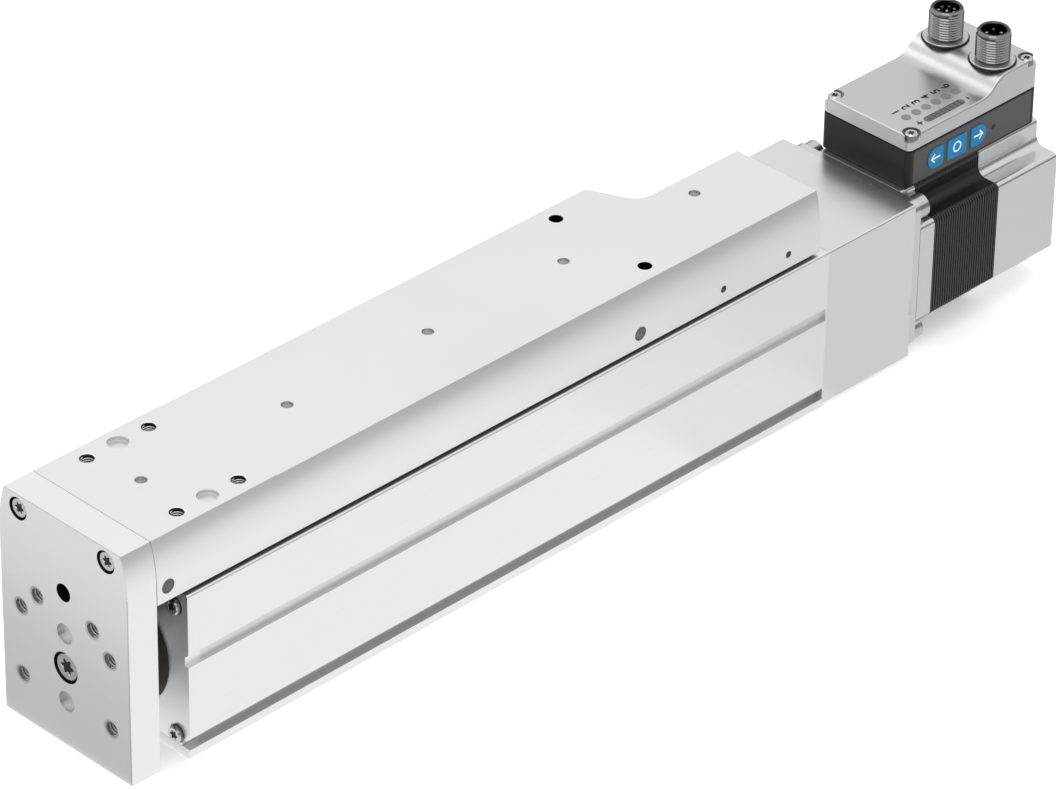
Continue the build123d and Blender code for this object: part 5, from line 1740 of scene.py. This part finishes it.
@dataclass(frozen=True)
class Light:
    """A soft square lamp."""

    name: str
    place: Point
    aim: Point
    size: float
    power: float

    def build(self) -> None:
        """Puts the lamp in the scene."""
        data = bpy.data.lights.new(self.name, "AREA")
        data.size = self.size
        data.energy = self.power
        lamp = bpy.data.objects.new(self.name, data)
        lamp.location = self.place
        away = Vector(self.place) - Vector(self.aim)
        lamp.rotation_euler = away.to_track_quat("Z", "Y").to_euler()
        bpy.context.scene.collection.objects.link(lamp)


@dataclass(frozen=True)
class Card:
    """A lit or dark card beside the slide that only polished surfaces show."""

    name: str
    corners: tuple[Point, ...]
    glow: float

    def build(self) -> None:
        """Stands the card in the scene."""
        mesh = bpy.data.meshes.new(self.name)
        count = len(self.corners) // 2
        strips = [(i, i + 1, count + i + 1, count + i) for i in range(count - 1)]
        mesh.from_pydata(self.corners, [], strips)
        material = bpy.data.materials.new(self.name)
        material.use_nodes = True
        shader = material.node_tree.nodes["Principled BSDF"]
        shader.inputs["Base Color"].default_value = (0.0, 0.0, 0.0, 1.0)
        shader.inputs["Specular IOR Level"].default_value = 0.0
        shader.inputs["Emission Color"].default_value = (1.0, 1.0, 1.0, 1.0)
        shader.inputs["Emission Strength"].default_value = self.glow
        mesh.materials.append(material)
        card = bpy.data.objects.new(self.name, mesh)
        card.visible_camera = False
        card.visible_diffuse = False
        card.visible_shadow = False
        bpy.context.scene.collection.objects.link(card)


def wall_round(radius: float, low: float, high: float, steps: int = 48) -> tuple[Point, ...]:
    """The corners of a low round wall about the slide.

    Args:
        radius: its radius in metres.
        low: its lower edge.
        high: its upper edge.
        steps: how many strips it has.

    Returns:
        The lower corners and then the upper ones.
    """
    turns = [2 * math.pi * i / steps for i in range(steps + 1)]
    return tuple(
        (radius * math.cos(turn), radius * math.sin(turn), level)
        for level in (low, high)
        for turn in turns
    )


def flat(left: float, right: float, near: float, far: float) -> tuple[Point, ...]:
    """The corners of a card that lies on the floor.

    Args:
        left: its lower X limit, in metres.
        right: its upper X limit.
        near: its lower Y limit.
        far: its upper Y limit.

    Returns:
        The near corners and then the far ones.
    """
    return tuple((x, y, 0.0) for y in (near, far) for x in (left, right))


def upright(left: float, right: float, y: float, low: float, high: float) -> tuple[Point, ...]:
    """The corners of a card that stands along the slide.

    Args:
        left: its lower X limit, in metres.
        right: its upper X limit.
        y: how far across it stands.
        low: its lower edge.
        high: its upper edge.

    Returns:
        The lower corners and then the upper ones.
    """
    return tuple((x, y, z) for z in (low, high) for x in (left, right))


@dataclass
class Studio:
    """The camera, the pale floor and the soft light."""

    lens: float = 214.69
    sensor: float = 36.0
    place: Point = (-1.169425, -1.179376, 1.133712)
    right: Point = (0.70637076, -0.70771302, 0.01351417)
    upward: Point = (0.37760541, 0.39290041, 0.83847684)
    floor_size: float = 12.0
    floor_gap: float = 0.0002
    floor_glow: float = 0.36
    world_strength: float = 0.955
    horizon: Stops = (
        (0.30, 0.85),
        (0.47, 0.62),
        (0.56, 0.50),
        (0.68, 0.92),
        (1.0, 1.0),
    )
    lights: tuple[Light, ...] = (
        Light("overhead_softbox", (-0.4, -0.3, 2.2), (0.0, 0.0, 0.0), 1.6, 8.0),
    )

    cards: tuple[Card, ...] = (
        Card("dark_skirt", wall_round(1.0, 0.0, 0.28), 0.3),
        Card("dark_wall", upright(-0.9, 1.2, -0.45, 0.0, 0.3), 0.22),
        Card("far_ground", flat(-0.9, 1.2, -0.45, -0.28), 0.5),
        Card("near_ground", flat(-0.165, 0.09, -0.28, 0.3), 0.945),
        Card("middle_ground", flat(0.09, 0.15, -0.28, 0.3), 0.84),
        Card("rear_ground", flat(0.15, 1.2, -0.28, 0.3), 0.76),
        Card("front_ground", flat(-0.6, -0.215, -0.28, 0.45), 0.8),
        Card("foot_ground", flat(-0.215, -0.165, -0.28, 0.45), 0.5),
        Card(
            "bright_ceiling",
            ((-0.6, 2.6, 1.6), (0.5, 2.6, 1.6), (-0.6, 2.0, 2.4), (0.5, 2.0, 2.4)),
            4.6,
        ),
    )

    def camera(self) -> None:
        """Stands the camera where the picture was taken from."""
        data = bpy.data.cameras.new("camera")
        data.lens = self.lens
        data.sensor_width = self.sensor
        data.sensor_fit = "HORIZONTAL"
        data.clip_start = 0.05
        data.clip_end = 30.0
        camera = bpy.data.objects.new("camera", data)
        right, upward = Vector(self.right), Vector(self.upward)
        turned_to = Matrix((right, upward, right.cross(upward))).transposed().to_4x4()
        turned_to.translation = Vector(self.place)
        camera.matrix_world = turned_to
        bpy.context.scene.collection.objects.link(camera)
        bpy.context.scene.camera = camera

    def floor(self) -> None:
        """Lays the pale floor just under the slide."""
        half = self.floor_size / 2
        corners = [(-half, -half), (half, -half), (half, half), (-half, half)]
        mesh = bpy.data.meshes.new("floor")
        mesh.from_pydata([(x, y, -self.floor_gap) for x, y in corners], [], [(0, 1, 2, 3)])
        floor = bpy.data.objects.new("floor", mesh)
        material = bpy.data.materials.new("pale_floor")
        material.use_nodes = True
        shader = material.node_tree.nodes["Principled BSDF"]
        shader.inputs["Base Color"].default_value = (0.93, 0.93, 0.93, 1.0)
        shader.inputs["Roughness"].default_value = 0.9
        shader.inputs["Specular IOR Level"].default_value = 0.0
        shader.inputs["Emission Color"].default_value = (1.0, 1.0, 1.0, 1.0)
        shader.inputs["Emission Strength"].default_value = self.floor_glow
        mesh.materials.append(material)
        bpy.context.scene.collection.objects.link(floor)

    def sky(self) -> None:
        """Lights the scene evenly from all round, a little darker low down."""
        world = bpy.data.worlds.new("soft_room")
        world.use_nodes = True
        tree = world.node_tree
        back = tree.nodes["Background"]
        back.inputs["Strength"].default_value = self.world_strength
        way = tree.nodes.new("ShaderNodeTexCoord")
        parts = tree.nodes.new("ShaderNodeSeparateXYZ")
        height = tree.nodes.new("ShaderNodeMapRange")
        height.inputs["From Min"].default_value = -1.0
        ramp = tree.nodes.new("ShaderNodeValToRGB")
        set_stops(ramp, self.horizon)
        link(tree, way.outputs["Generated"], parts.inputs[0])
        link(tree, parts.outputs["Z"], height.inputs["Value"])
        link(tree, height.outputs[0], ramp.inputs[0])
        link(tree, ramp.outputs[0], back.inputs["Color"])
        bpy.context.scene.world = world

    def build(self) -> None:
        """Sets up the camera, the floor and the light."""
        self.camera()
        self.floor()
        self.sky()
        for piece in (*self.lights, *self.cards):
            piece.build()
        bpy.context.scene.view_settings.view_transform = "Standard"


def main() -> None:
    """Builds the studio and every sub-assembly in order."""
    logging.basicConfig(level=logging.INFO, format="%(name)s: %(message)s")
    paint = Paintbox()
    paint.dress_nodes()
    kit = GeometryKit(paint)
    Studio().build()
    for group in (TableGroup, HousingGroup, MotorGroup, DriveGroup):
        assembly = group(paint, kit)
        assembly.build()
        LOG.info("%s is done", group.__name__)


if __name__ == "__main__":
    main()
